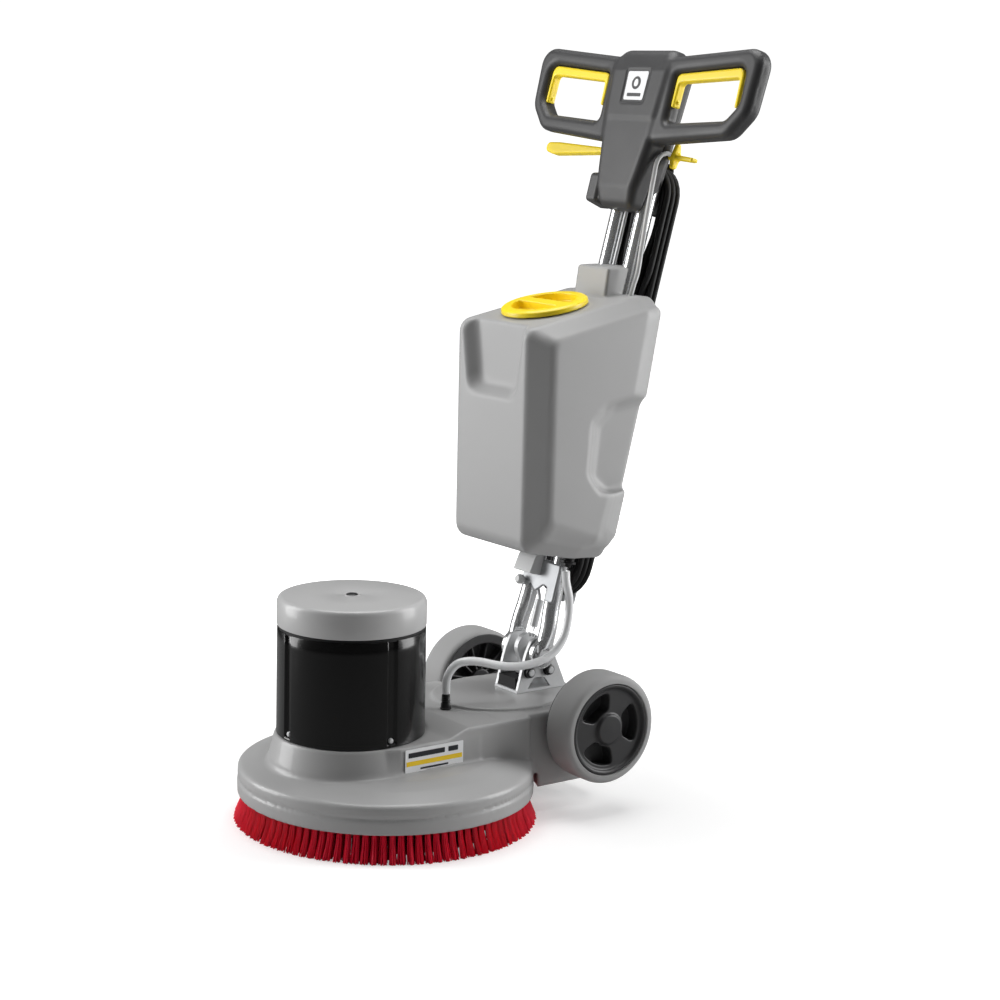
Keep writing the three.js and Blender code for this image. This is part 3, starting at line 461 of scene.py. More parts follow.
def smooth_line(points, spacing):
    """A centripetal curve through given points, with points spacing apart."""
    p = np.asarray(points, float)
    p = np.concatenate([[2 * p[0] - p[1]], p, [2 * p[-1] - p[-2]]])
    out = []
    for i in range(1, len(p) - 2):
        p0, p1, p2, p3 = p[i - 1:i + 3]
        t0 = 0.0
        t1 = t0 + max(np.linalg.norm(p1 - p0), 1e-6) ** 0.5
        t2 = t1 + max(np.linalg.norm(p2 - p1), 1e-6) ** 0.5
        t3 = t2 + max(np.linalg.norm(p3 - p2), 1e-6) ** 0.5
        n = max(1, int(np.linalg.norm(p2 - p1) / spacing))
        for t in np.linspace(t1, t2, n, endpoint=False):
            a1 = (t1 - t) / (t1 - t0) * p0 + (t - t0) / (t1 - t0) * p1
            a2 = (t2 - t) / (t2 - t1) * p1 + (t - t1) / (t2 - t1) * p2
            a3 = (t3 - t) / (t3 - t2) * p2 + (t - t2) / (t3 - t2) * p3
            b1 = (t2 - t) / (t2 - t0) * a1 + (t - t0) / (t2 - t0) * a2
            b2 = (t3 - t) / (t3 - t1) * a2 + (t - t1) / (t3 - t1) * a3
            out.append((t2 - t) / (t2 - t1) * b1 + (t - t1) / (t2 - t1) * b2)
    out.append(p[-2])
    return np.array(out)


def tube(name, line, radius, material, sides=24, mast=False):
    """A round tube along a line of points, with flat ends."""
    line = np.asarray(line, float)
    if mast:
        line = from_mast(line)
    count = len(line)
    along = np.gradient(line, axis=0)
    along /= np.linalg.norm(along, axis=1)[:, None]
    side = np.array([1.0, 0, 0]) if abs(along[0][0]) < 0.9 else np.array([0, 1.0, 0])
    points, faces = [], []
    around = np.linspace(0, 2 * math.pi, sides, endpoint=False)
    for i in range(count):
        side = side - along[i] * (side @ along[i])
        side /= np.linalg.norm(side)
        up = np.cross(along[i], side)
        points.append(line[i] + radius * (np.cos(around)[:, None] * side + np.sin(around)[:, None] * up))
    for i in range(count - 1):
        for k in range(sides):
            m = (k + 1) % sides
            faces.append((i * sides + k, i * sides + m, (i + 1) * sides + m, (i + 1) * sides + k))
    faces.append(tuple(range(sides))[::-1])
    faces.append(tuple((count - 1) * sides + k for k in range(sides)))
    return mesh_object(name, np.concatenate(points), faces, material, angle=60)


def thin_plate(name, back, front, material):
    """A thin flat plate between two outlines with the same number of points."""
    n = len(back)
    faces = [tuple(range(n)), tuple(range(2 * n - 1, n - 1, -1))]
    faces += [(k, (k + 1) % n, n + (k + 1) % n, n + k) for k in range(n)]
    return mesh_object(name, [*back, *front], faces, material, smooth=False)


def joined(name, objects):
    """Several meshes as one piece."""
    bpy.ops.object.select_all(action="DESELECT")
    for o in objects:
        o.select_set(True)
    bpy.context.view_layer.objects.active = objects[0]
    bpy.ops.object.join()
    objects[0].name = name
    objects[0].data.name = name
    return objects[0]


def piece(obj, body, slot, *nodes):
    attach(obj, body)
    if nodes:
        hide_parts(*nodes)
    return obj


def soften(node, width, material):
    """A CAD node that stays, with small rounded edges and a finished material."""
    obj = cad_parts[node]
    for index in range(len(obj.material_slots)):
        obj.material_slots[index].material = material
    if width:
        edge = obj.modifiers.new("edges", "BEVEL")
        edge.width = width * MM
        edge.segments = 2
        edge.limit_method = "ANGLE"
        edge.angle_limit = math.radians(35)
        edge.harden_normals = True


# ---- Cords ----------------------------------------------------------------------------------------------------------
GLAND = (7, 2, 624)
LEAD = [(7, 2, 623.7), (7, 2, 605), (6.6, 4, 586), (5, 9, 568), (1, 15, 550), (-5, 19.5, 532), (-11, 21.5, 512),
        (-16, 22, 486), (-20, 21.8, 462), (-25.5, 21.5, 436)]
TAIL = [(36, 48.9, 250), (36, 48.9, 275), (36, 49.2, 300), (34, 50.5, 322), (28, 53, 342), (19, 56, 358),
        (10, 58, 371), (2, 59, 381), (0, 59, 389), (0, 59, 394.6)]
LANES = [(0, 0), (1, 0), (2, 0), (2, 1), (1, 1), (0, 1), (0, 2), (1, 2), (2, 2)]


def hank_line():
    """The wound cord: nine turns round the two hooks, lane by lane, each change of lane on the right-hand run."""
    def lane(i):
        column, layer = LANES[i]
        return 3 * CORD_D + column * CORD_D, HANK_V + (layer + 0.5) * CORD_D

    run = HANK_HIGH - HANK_LOW
    points = []
    for i in range(len(LANES)):
        r, v = lane(i)
        if i:
            points += [(-r, v, w) for w in np.linspace(HANK_HIGH, HANK_LOW, 12)]
        else:
            points += [(-r, v, w) for w in np.linspace(416, HANK_LOW, 8)]
        points += [(-r * math.cos(a), v, HANK_LOW - r * math.sin(a)) for a in np.linspace(0, math.pi, 14)[1:-1]]
        if i + 1 < len(LANES):
            r2, v2 = lane(i + 1)
            begin = 0.12 + 0.1 * (len(LANES) - 2 - i)
            for f in np.linspace(0, 1, 42):
                s = min(1, max(0, (f - begin) / 0.1))
                s = s * s * (3 - 2 * s)
                points.append((r + (r2 - r) * s, v + (v2 - v) * s, HANK_LOW + run * f))
            points += [(r2 * math.cos(a), v2, HANK_HIGH + r2 * math.sin(a)) for a in np.linspace(0, math.pi, 14)[1:-1]]
        else:
            points += [(r, v, HANK_LOW), (r, v + 0.3, 150), (r - 1, v + 2.5, 172), (r - 4, v + 6.5, 200),
                       (r - 7, v + 9, 225)]
    return points


def cord_curve(name, points, diameter, material):
    curve = bpy.data.curves.new(name, "CURVE")
    curve.dimensions = "3D"
    curve.bevel_depth = diameter / 2 * MM
    curve.bevel_resolution = 4
    curve.use_fill_caps = True
    spline = curve.splines.new("POLY")
    spline.points.add(len(points) - 1)
    for target, point in zip(spline.points, metres(points)):
        target.co = (*point, 1)
    spline.use_smooth = True
    curve.materials.append(material)
    obj = bpy.data.objects.new(name, curve)
    bpy.context.collection.objects.link(obj)
    return obj


HOSE_ROUTE = [(56, 130.6, 333), (57, 131, 318), (58, 137, 290), (60, 134, 261), (62, 125, 236), (64, 107, 218),
              (64, 82, 208), (60, 58, 204), (54, 36, 204), (48, 14, 208), (42, -8, 214), (36, -25, 216),
              (30, -38, 213), (25, -46, 204), (22, -51, 192), (20, -51, 180), (20, -51, 169)]


# ---- Deck -----------------------------------------------------------------------------------------------------------
def deck_casting():
    f = Field((-216, -354, 32), (216, 188, 160), 2.7)
    radius = np.sqrt(f.x ** 2 + (f.y - BRUSH[1]) ** 2)
    dome = polygon(radius, f.z, fillet([
        (0, 84), (150, 84), (188, 82), (201, 74), (201, SKIRT_BOTTOM), (208, SKIRT_BOTTOM), (208.6, 58.2),
        (206.2, 59.8), (206.2, 61.6), (207.8, 63.2), (207.4, 76), (204, 79.5), (176, 90), (150, 95.5), (0, 98)],
        {6: 1, 10: 2, 11: 3, 12: 40}))
    motor_radius = np.sqrt(f.x ** 2 + (f.y - MOTOR[1]) ** 2)
    round_end = np.clip((-190 - f.y) / 20, 0, 1)
    half = 115 - 9 * np.clip((f.z - 99) / 35, 0, 1) * round_end - round_end
    front = np.where(f.y < MOTOR[1], motor_radius, np.abs(f.x) + 0 * f.y) - half
    pedestal = np.maximum(smooth_max(np.maximum(front, f.y + 60), f.z - 134, 5), 40 - f.z)
    top = 134 + (DECK_TOP - 134) * np.clip((f.y + 112) / 36, 0, 1)
    tier_flat = polygon(f.x, f.y, rounded([(-115, -150, 3), (115, -150, 3), (115, 30, 3), (-115, 30, 3)]))
    tier = np.maximum(smooth_max(tier_flat, (f.z - top) * 0.95, 3.5), 40 - f.z)
    rear_flat = polygon(f.x, f.y, rounded([(-108, -20, 3), (108, -20, 3), (108, 180, 42), (-108, 180, 42)]))
    rear = slab(rear_flat, f.z, 36, DECK_TOP, 5)
    pad_flat = (np.sqrt((f.x / 92) ** 2 + ((f.y - 62) / 106) ** 2) - 1) * 92
    pad = slab(pad_flat, f.z, 120, PAD_TOP, 1.6)
    body = dome
    for part, blend in ((pedestal, 8), (tier, 3), (rear, 3), (pad, 2)):
        body = smooth_min(body, part, blend)
    brush_room = polygon(radius, f.z, [(0, 0), (201, 0), (201, 74), (188, 82), (150, 84), (0, 84)])
    under = np.maximum(f.z - SKIRT_BOTTOM, radius - 216)
    ring_gap = np.maximum(np.maximum(208.8 - radius, radius - 216), f.z - 58)
    gear_room = np.maximum(np.minimum(radius - 62, motor_radius - 22), f.z - 124)
    for hollow in (brush_room, under, ring_gap, gear_room):
        body = np.maximum(body, -hollow)
    seat = np.maximum(motor_radius - 104.6, 134 - f.z)
    body = smooth_cut(body, seat, 2)
    room = np.maximum(np.maximum(np.abs(f.x) - 104, 92 - f.y), np.maximum(f.y - 172, f.z - 137))
    axle = np.sqrt((f.y - WHEEL["right"][1]) ** 2 + (f.z - WHEEL["right"][2]) ** 2) - 8.6
    body = np.maximum(np.maximum(body, -room), -axle)
    return skin("deck_casting", f, body, DECK_GREY)


def bristles():
    """Rings of tufts, each a spread of separate strands that fan out from its hole in the block."""
    rng = np.random.default_rng(7)
    points, faces = [], []
    block_low = node_box("brush_block")[0][2]
    rings = [(196.5, 208.8, 104, 24), (188, 201, 100, 20), (178, 190, 92, 14), (162, 168, 78, 8), (146, 150, 70, 8),
             (130, 132, 62, 8), (114, 115, 54, 8), (98, 98.5, 46, 8), (80, 79.5, 38, 8)]
    for ring, (top_r, low_r, tufts, strands) in enumerate(rings):
        for t in range(tufts):
            a = 2 * math.pi * (t + 0.5 * (ring % 2)) / tufts
            lean = rng.normal(0, 0.004)
            for _ in range(strands):
                u = rng.random() ** 0.5
                b = rng.random() * 2 * math.pi
                spread = np.array([u * math.cos(b), u * math.sin(b)])
                top = np.array([top_r + 2.6 * spread[0], a + 2.6 * spread[1] / top_r])
                low = np.array([low_r + 4.2 * spread[0] + rng.normal(0, 0.3), a + lean + 5.5 * spread[1] / low_r])
                reach = min(low[0], BRUSH_RADIUS - 0.8)
                width = 0.95 if strands > 10 else 1.5
                rows = []
                for k, (share, z) in enumerate(((0, block_low + 0.2), (0.45, block_low * 0.5), (1, 0.15))):
                    bow = share * share * 0.6 + share * 0.4
                    r = top[0] + (reach - top[0]) * bow
                    ang = top[1] + (low[1] - top[1]) * share
                    centre = np.array([r * math.cos(ang), r * math.sin(ang), z])
                    out = np.array([math.cos(ang), math.sin(ang), 0])
                    side = np.array([-out[1], out[0], 0])
                    rows.append([centre + out * width, centre - out * width * 0.5 + side * width,
                                 centre - out * width * 0.5 - side * width])
                base = len(points)
                points += [p for row in rows for p in row]
                for k in range(2):
                    for m in range(3):
                        n = (m + 1) % 3
                        faces.append((base + 3 * k + m, base + 3 * k + n, base + 3 * k + 3 + n, base + 3 * k + 3 + m))
                faces.append((base + 2, base + 1, base))
                faces.append((base + 6, base + 7, base + 8))
    points = np.array(points) + np.array([BRUSH[0], BRUSH[1], 0])
    mesh = bpy.data.meshes.new("bristle_tufts")
    mesh.from_pydata(metres(points), [], faces)
    mesh.update()
    obj = bpy.data.objects.new("bristle_tufts", mesh)
    bpy.context.collection.objects.link(obj)
    return finish_mesh(obj, RED_BRISTLE, smooth=True, angle=70)


def motor_barrel():
    """The motor's shell, with four upright grooves and a screw in the foot of each."""
    quarter = math.pi / 2

    def grooved(around, r, h):
        if r < 99:
            return np.full(len(around), float(r))
        offset = (around + quarter / 2) % quarter - quarter / 2
        across = np.abs(offset) * r
        wall = np.clip((across - 5.5) / 2.5, 0, 1)
        return r - 4 * (1 - wall ** 2 * (3 - 2 * wall)) * min(1, max(0, (h - 137) / 3))

    z0, z1 = MOTOR_BOTTOM, SHELL_TOP
    profile = [(97, z0), (103.3, z0), (103.3, z0 + 1), (103.2, 137), (103.2, 138), (103.1, 139), (103.1, 140),
               (103, 142)]
    profile += [(103.0 - 0.5 * k / 8, 142 + (z1 - 142.8) * k / 8) for k in range(1, 9)]
    profile += [(101.7, z1), (98, z1), (97.5, z1 - 1), (97.5, 150), (0.01, 150), (0.01, z0)]
    barrel = spun("motor_barrel", profile, MOTOR_BLACK, (0, MOTOR[1], 0), segments=720, swell=grooved, angle=50)
    screws = []
    for k in range(4):
        a = k * quarter
        out = np.array([math.cos(a), math.sin(a), 0])
        screw = spun(f"screw_{k}", fillet([(0.01, 3), (3.2, 3), (4, 0), (0.01, 0)], {1: 1}), ZINC, segments=20,
                     tilt=Matrix.Rotation(math.pi / 2, 3, "Y"))
        screw.data.transform(Matrix.Rotation(a, 4, "Z"))
        screw.data.transform(Matrix.Translation(Vector((out * 98.8 + np.array([0, MOTOR[1], 142.5])) * MM)))
        screws.append(screw)
    return barrel, joined("motor_foot_screws", screws)


def motor_top():
    centre = (0, MOTOR[1], 0)
    seam = spun("motor_seam", [(96, 280.5), (101.2, 280.5), (101.2, 287.5), (96, 287.5)], BLACK_RUBBER, centre,
                closed=True, segments=160)
    cap = spun("motor_cap_cover", fillet([
        (96, 287), (96, 286), (102.6, 286), (103.2, 288), (103.2, 318), (101, 323.4), (97, 325.2), (60, 326), (14, 326),
        (13, 325.2), (11.5, 325.2), (11, 326), (0.01, 326), (0.01, 321), (92, 321), (99, 315), (99, 288)],
        {2: 0.5, 5: 6, 6: 9, 7: 60}), CAP_GREY_PAINTED_LIGHT, centre, closed=True, segments=200, angle=45)
    plug = spun("motor_cap_plug", fillet([(0.01, 327.2), (7, 327.2), (8.4, 326), (8.4, 323), (0.01, 323)], {1: 1.2}),
                BLACK_PLASTIC, centre, segments=48)
    return seam, cap, plug


# ---- Wheels ---------------------------------------------------------------------------------------------------------
def tyre_half_width(side):
    low, high = node_box(f"wheel_tyre_{side}")
    return (high - low)[0] / 2


def wheel_tyre(side):
    w = tyre_half_width(side)
    edge = [(66.3, 1), (67, 0), (71.5, 0.1), (75, 1.4), (77.4, 4.2), (78.3, 8), (78.5, 13)]
    profile = [(r, -w + h) for r, h in edge] + [(78.5, -w + 13 + (2 * w - 26) * k / 6) for k in range(1, 6)]
    profile += [(r, w - h) for r, h in reversed(edge)]
    return spun(f"tyre_{side}", profile, TYRE_GREY, WHEEL[side], axis="X", segments=160, closed=True, angle=50)


def wheel_rim(side):
    """The rim, drawn for the right wheel, outside towards +X: a disc with three pockets, a hub and an inner flange."""
    flank = tyre_half_width(side) + 0.3
    f = Field((-28, -79, -79), (28, 79, 79), 1.1)
    radius = np.sqrt(f.y ** 2 + f.z ** 2)
    angle = np.arctan2(f.z, f.y)
    shell = polygon(radius, f.x, fillet([
        (0, 18), (7, 18), (8.5, 14.5), (8.5, -22), (18, -22), (19, -3.5), (59, -3.5), (60, -flank - 1.8),
        (73.8, -flank - 1.8), (73.8, -flank), (66, -flank), (66, 23), (64, 25.4), (60.5, 24.6), (58, 20.5), (23, 20.5),
        (20.5, 25), (0, 25.6)], {8: 0.8, 12: 1.5, 13: 1.5, 14: 2, 15: 2, 16: 2.5}))
    spokes = np.abs(((angle / (2 * math.pi) * 12) % 1) - 0.5) * (radius * 2 * math.pi / 12) - 1.6
    ribs = np.maximum(np.maximum(spokes, radius - 62), np.maximum(-17 - f.x, f.x + 2)).astype(np.float32)
    ribs = np.maximum(ribs, 17 - radius)
    shell = smooth_min(shell, ribs, 1.5)
    pockets = 1e3
    for third in range(3):
        off = np.abs((angle - math.radians(5 + 120 * third) + math.pi) % (2 * math.pi) - math.pi)
        wide = (off - math.radians(37)) * np.maximum(radius, 1) + 2
        pockets = np.minimum(pockets, smooth_max(smooth_max(25.5 - radius, radius - 52.5, 6), wide, 9))
    body = smooth_cut(shell, np.maximum(pockets, 1 - f.x), 1.5)
    return skin(f"rim_{side}", f, body, RIM_GREY, mirror=side == "left", place=lambda p: p + WHEEL[side])


# ---- Mast -----------------------------------------------------------------------------------------------------------
def mast_tube(side):
    sign = 1 if side == "right" else -1
    route = smooth_line([(34, 0, 27), (33.6, 0, 38), (32.2, 0, 50), (30.4, 0, 62), (29.2, 0, 76), (28.3, 0, 92),
                         (28, 0, 110), (28, 0, 160), (28, 0, 400), (28, 0, TUBE_TOP)], 6)
    line = route[route[:, 2] > 50] * np.array([sign, 1, 1])
    bar = tube(f"tube_{side}", line, TUBE_RADIUS, CHROME, sides=48, mast=True)
    f = Field((14, -25, -25), (52, 25, 58), 1.0)
    radius = np.sqrt(f.y ** 2 + f.z ** 2)
    hub = smooth_max(radius - 21, np.abs(f.x - 33) - 5, 1.5)
    stem = np.full(radius.shape, 1e3, np.float32) + 0 * f.x
    for a, b in zip(route[:-1], route[1:]):
        if a[2] < 62:
            stem = np.minimum(stem, rod(f, a, b, TUBE_RADIUS - 0.05))
    stem = np.minimum(stem, rod(f, (33.5, 0, 4), tuple(route[0]), TUBE_RADIUS - 0.05))
    foot = smooth_min(hub, stem, 4)
    foot = np.maximum(foot, np.minimum(27.6 - f.x, 27.5 - radius))
    foot = smooth_cut(foot, radius - 8.5, 1)
    shoe = skin(f"foot_{side}", f, foot, CHROME, mast=True, mirror=sign < 0)
    return joined(f"mast_tube_{side}_chrome", [bar, shoe])


def mast_crosspiece():
    f = Field((-58, -20, 72), (58, 62, 140), 1.3)
    outline = rounded([(-30, 132, 3), (49, 132, 3), (49, 76, 4), (30, 76, 4), (30, 96, 3),
                       (20, 98, 4), (4, 86, 4), (-12, 98, 5), (-20, 90, 4), (-32, 90, 4)])
    front = slab(polygon(f.x, f.z, outline), f.y, -17.5, -12.8, 1.4)
    middle = brick(f, (-15, -14, 98), (15, 15.2, 133), 3)
    body = smooth_min(front, middle, 3)
    for x in (-11, 11):
        path = smooth_line([(x, 10, 127), (x, 40, 127), (x, 48, 124.5), (x, 51.7, 118), (x, 52, 106), (x, 52, 80)], 5)
        for a, b in zip(path[:-1], path[1:]):
            body = smooth_min(body, rod(f, a, b, 3.6), 0.8)
    for x in (-1, 1):
        body = np.maximum(body, -(np.sqrt((f.x - x * TUBE_X) ** 2 + f.y ** 2) - TUBE_RADIUS - 0.3))
    body = np.maximum(body, -rod(f, (-7, -4, 80), (-7, -4, 145), 4))
    return skin("mast_crosspiece_cast", f, body, PAINTED_STEEL, mast=True)


# ---- Head and grips -------------------------------------------------------------------------------------------------
HEAD_OUTLINE = [(-36, 652, 14), (36, 652, 14), (48, 706, 60), (55, 748, 60), (60, 800, 60), (65, 862, 24),
                (58, 886, 18), (-58, 886, 18), (-65, 862, 24), (-60, 800, 60), (-55, 748, 60), (-48, 706, 60)]
HEAD_FACE = [(652, -37), (679, -45.5), (684, -46.2), (778, -46.6), (785, -48.4), (852, -48.2), (887, -38)]
GRIP_OUTLINE = [(40, 747, 10), (208, 761, 30), (240, 796, 34), (245, 889, 26), (40, 873, 10)]
GRIP_HOLE = [(75, 778, 8), (196, 785, 20), (218, 808, 22), (216, 862, 16), (75, 850, 8)]


def inset(points, distance):
    """An outline moved inwards by a distance, for shapes that are drawn clockwise or not."""
    p = np.array(points, float)
    area = 0.5 * float(np.sum(p[:, 0] * np.roll(p[:, 1], -1) - np.roll(p[:, 0], -1) * p[:, 1]))
    tangent = np.roll(p, -1, 0) - np.roll(p, 1, 0)
    tangent /= np.maximum(np.linalg.norm(tangent, axis=1)[:, None], 1e-9)
    normal = np.stack([-tangent[:, 1], tangent[:, 0]], 1) * (1 if area > 0 else -1)
    return [tuple(q) for q in p + normal * distance]


def head_front():
    f = Field((-249, -52, 646), (249, -12, 894), 1.6)
    face = np.interp(f.z, [w for w, _ in HEAD_FACE], [v for _, v in HEAD_FACE]).astype(np.float32)
    head = smooth_max(facing(f, rounded(HEAD_OUTLINE)), (face - f.y) * 0.98, 13)
    across = np.abs(f.x[:, 0, :])
    loop = polygon(across, f.z[0], rounded(GRIP_OUTLINE))
    hole = polygon(across, f.z[0], rounded(GRIP_HOLE))
    grip_flat = np.maximum(loop, -hole)[:, None, :]
    grips = slab(grip_flat, f.y, HEAD_FRONT + 4, GRIP_BACK + 2, 11)
    body = smooth_min(head, grips, 4)
    seam = np.abs(f.y + 32) - 0.35
    body = np.maximum(f.y - HEAD_SPLIT, body)
    panel_flat = facing(f, rounded([(-25, 803, 4), (25, 803, 4), (27, 855, 4), (-27, 855, 4)]))
    panel = slab(panel_flat, f.y, HEAD_FRONT - 8, HEAD_FRONT + 1.4, 0.5)
    body = smooth_cut(body, panel, 0.8)
    for sign in (-1, 1):
        for x in (74.5, 219.5):
            body = np.maximum(body, -rod(f, (sign * x - 5, -32, 809), (sign * x + 5, -32, 809), 2.9))
    groove = np.maximum(seam, np.maximum(-(body + 1.0), 66 - np.abs(f.x)))
    body = smooth_cut(body, groove, 0.5)
    return skin("head_front_shell", f, body, HEAD_GREY, mast=True)


def head_rear():
    f = Field((-68, -15, 646), (68, 18, 890), 1.3)
    wide = facing(f, inset(rounded(HEAD_OUTLINE), 1.5))
    step = facing(f, rounded([(-33, 660, 10), (33, 660, 10), (42, 760, 30), (46, 862, 14), (42, 878, 10),
                              (-42, 878, 10), (-46, 862, 14), (-42, 760, 30)]))
    low = slab(wide, f.y, HEAD_SPLIT - 12, 6, 7)
    high = slab(step, f.y, HEAD_SPLIT - 12, HEAD_BACK, 5)
    body = smooth_min(low, high, 8)
    body = np.maximum(body, HEAD_SPLIT + 0.5 - f.y)
    for x in (-TUBE_X, TUBE_X):
        body = np.maximum(body, -rod(f, (x, 0, 620), (x, 0, 716), TUBE_RADIUS + 0.4))
    body = np.maximum(body, -brick(f, (-80, -12, 727), (-40, 10.5, 753), 2))
    body = smooth_cut(body, rod(f, (0, 9, 800), (0, 30, 800), 11.8), 1)
    for x, w in ((0, 672), (30, 770), (0, 868)):
        body = smooth_cut(body, rod(f, (x, 12.5, w), (x, 30, w), 3.4), 0.8)
    return skin("head_rear_shell", f, body, HEAD_GREY, mast=True)


def head_label():
    """The plain plate on the head: white, with a dark disc, a white drop in it, and a dark bar."""
    def plate(name, outline, lift, thickness, material):
        v = HEAD_FRONT + 1.2 - lift
        layers = [from_mast([(x, depth, w) for x, w in outline]) for depth in (v, v - thickness)]
        return thin_plate(name, *layers, material)

    def oval(r, w, count, stretch=1.0):
        turns = np.linspace(0, 2 * math.pi, count, endpoint=False)
        return [(r * math.cos(a), w + r * math.sin(a) * (1 if math.sin(a) < 0 else stretch)) for a in turns]

    return joined("head_label", [
        plate("head_label_plate", rounded([(-21, 808, 3), (21, 808, 3), (22.5, 850, 3), (-22.5, 850, 3)]), 0, 0.5,
              LABEL_WHITE),
        plate("emblem_disc", oval(9.5, 833, 48), 0.5, 0.25, LABEL_DARK),
        plate("emblem_drop", oval(4.5, 832, 40, 1.5), 0.75, 0.2, LABEL_WHITE),
        plate("label_bar", rounded([(-15, 813, 1), (15, 813, 1), (15, 818, 1), (-15, 818, 1)]), 0.5, 0.25, LABEL_DARK)])


def trigger(side):
    f = Field((68, -42, 796), (228, -22, 861), 1.0)
    outline = rounded([(76, 801.5, 2), (82, 801.5, 2), (83, 837, 6), (206, 845, 6), (207.5, 803, 2), (213.5, 803, 2),
                       (212, 860, 12), (76, 849.4, 9)])
    body = slab(facing(f, outline), f.y, -39, -25, 2.6)
    for a, b in ((71.5, 82), (208, 222.5)):
        body = smooth_min(body, rod(f, (a, -32, 809), (b, -32, 809), 2.5), 0.5)
    return skin(f"trigger_{side}_bow", f, body, YELLOW, mast=True, mirror=side == "left")


def tilt_lever():
    f = Field((-229, -14, 726), (-38, 12, 756), 1.0)
    outline = rounded([(-44, 734.5, 3), (-44, 745.5, 3), (-95, 745.5, 40), (-196, 749.8, 30), (-224, 749, 8),
                       (-225, 735, 8), (-208, 731, 20), (-95, 736.5, 40)])
    body = slab(facing(f, outline), f.y, -10, 8, 3)
    body = smooth_min(body, rod(f, (-47, -10, 740), (-47, 8, 740), 5.5), 3)
    return skin("tilt_lever_blade", f, body, YELLOW, mast=True)


def water_lever():
    f = Field((40, -10, 716), (110, 16, 762), 1.0)
    bar_flat = facing(f, rounded([(53, 736, 2), (98, 733.2, 3), (105, 733.2, 2.4), (105, 739, 2.4), (98, 739.5, 3),
                                  (53, 743.5, 2)]))
    fin_flat = sideways(f, rounded([(-5.4, 737, 3), (-2, 722, 4), (7, 721, 4), (11, 740, 4), (6.5, 758, 3),
                                    (-0.5, 758, 3)]))
    bar, fin = slab(bar_flat, f.y, -2, 10.5, 2), slab(fin_flat, f.x, 59.6, 67.4, 2.4)
    body = smooth_min(bar, fin, 3)
    body = smooth_min(body, rod(f, (45, 4, 740), (66, 4, 740), 5.2), 2)
    return skin("water_lever_cross", f, body, YELLOW, mast=True)


def side_box():
    f = Field((-82, -34, 650), (-44, 12, 714), 1.0)
    outline = rounded([(-30, 661, 6), (6, 655, 6), (8, 668, 10), (8, 700, 10), (-4, 709, 8), (-30, 702, 6)])
    body = slab(sideways(f, outline), f.x, -78, -54, 5)
    arm = brick(f, (-60, -26, 664), (-45, -10, 698), 3)
    return skin("head_side_box_cover", f, smooth_min(body, arm, 4), HEAD_GREY, mast=True)


def safety_button():
    return spun("safety_button_cap", fillet([(0.01, 12.2), (13.6, 12.2), (13.6, 12.8), (11, 12.8), (11, 21.5), (9, 24),
                                             (0.01, 24.6)], {3: 0.3, 4: 2, 5: 6}), YELLOW, (0, 0, 800), axis="Y",
                segments=64, mast=True)


def cable_hook():
    f = Field((-24, 12, 655), (24, 52, 742), 1.2)
    radius = np.sqrt(f.x ** 2 + (f.z - HANK_HIGH) ** 2)
    drum = polygon(radius, f.y, [(0, 17.2), (19.5, 17.2), (18.5, 22), (18.5, 40), (19.5, 45.4), (0, 45.4)])
    stud = np.maximum(radius - 6, np.abs(f.y - 16) - 2.4)
    lip_flat = facing(f, rounded([(-15, 658, 12), (15, 658, 12), (15.2, 738.2, 13), (-15.2, 738.2, 13)]))
    body = smooth_min(smooth_min(drum, slab(lip_flat, f.y, 44.8, 49, 1.8), 3), stud, 1)
    return skin("cable_hook_upper_moulding", f, body, BLACK_PLASTIC, mast=True)


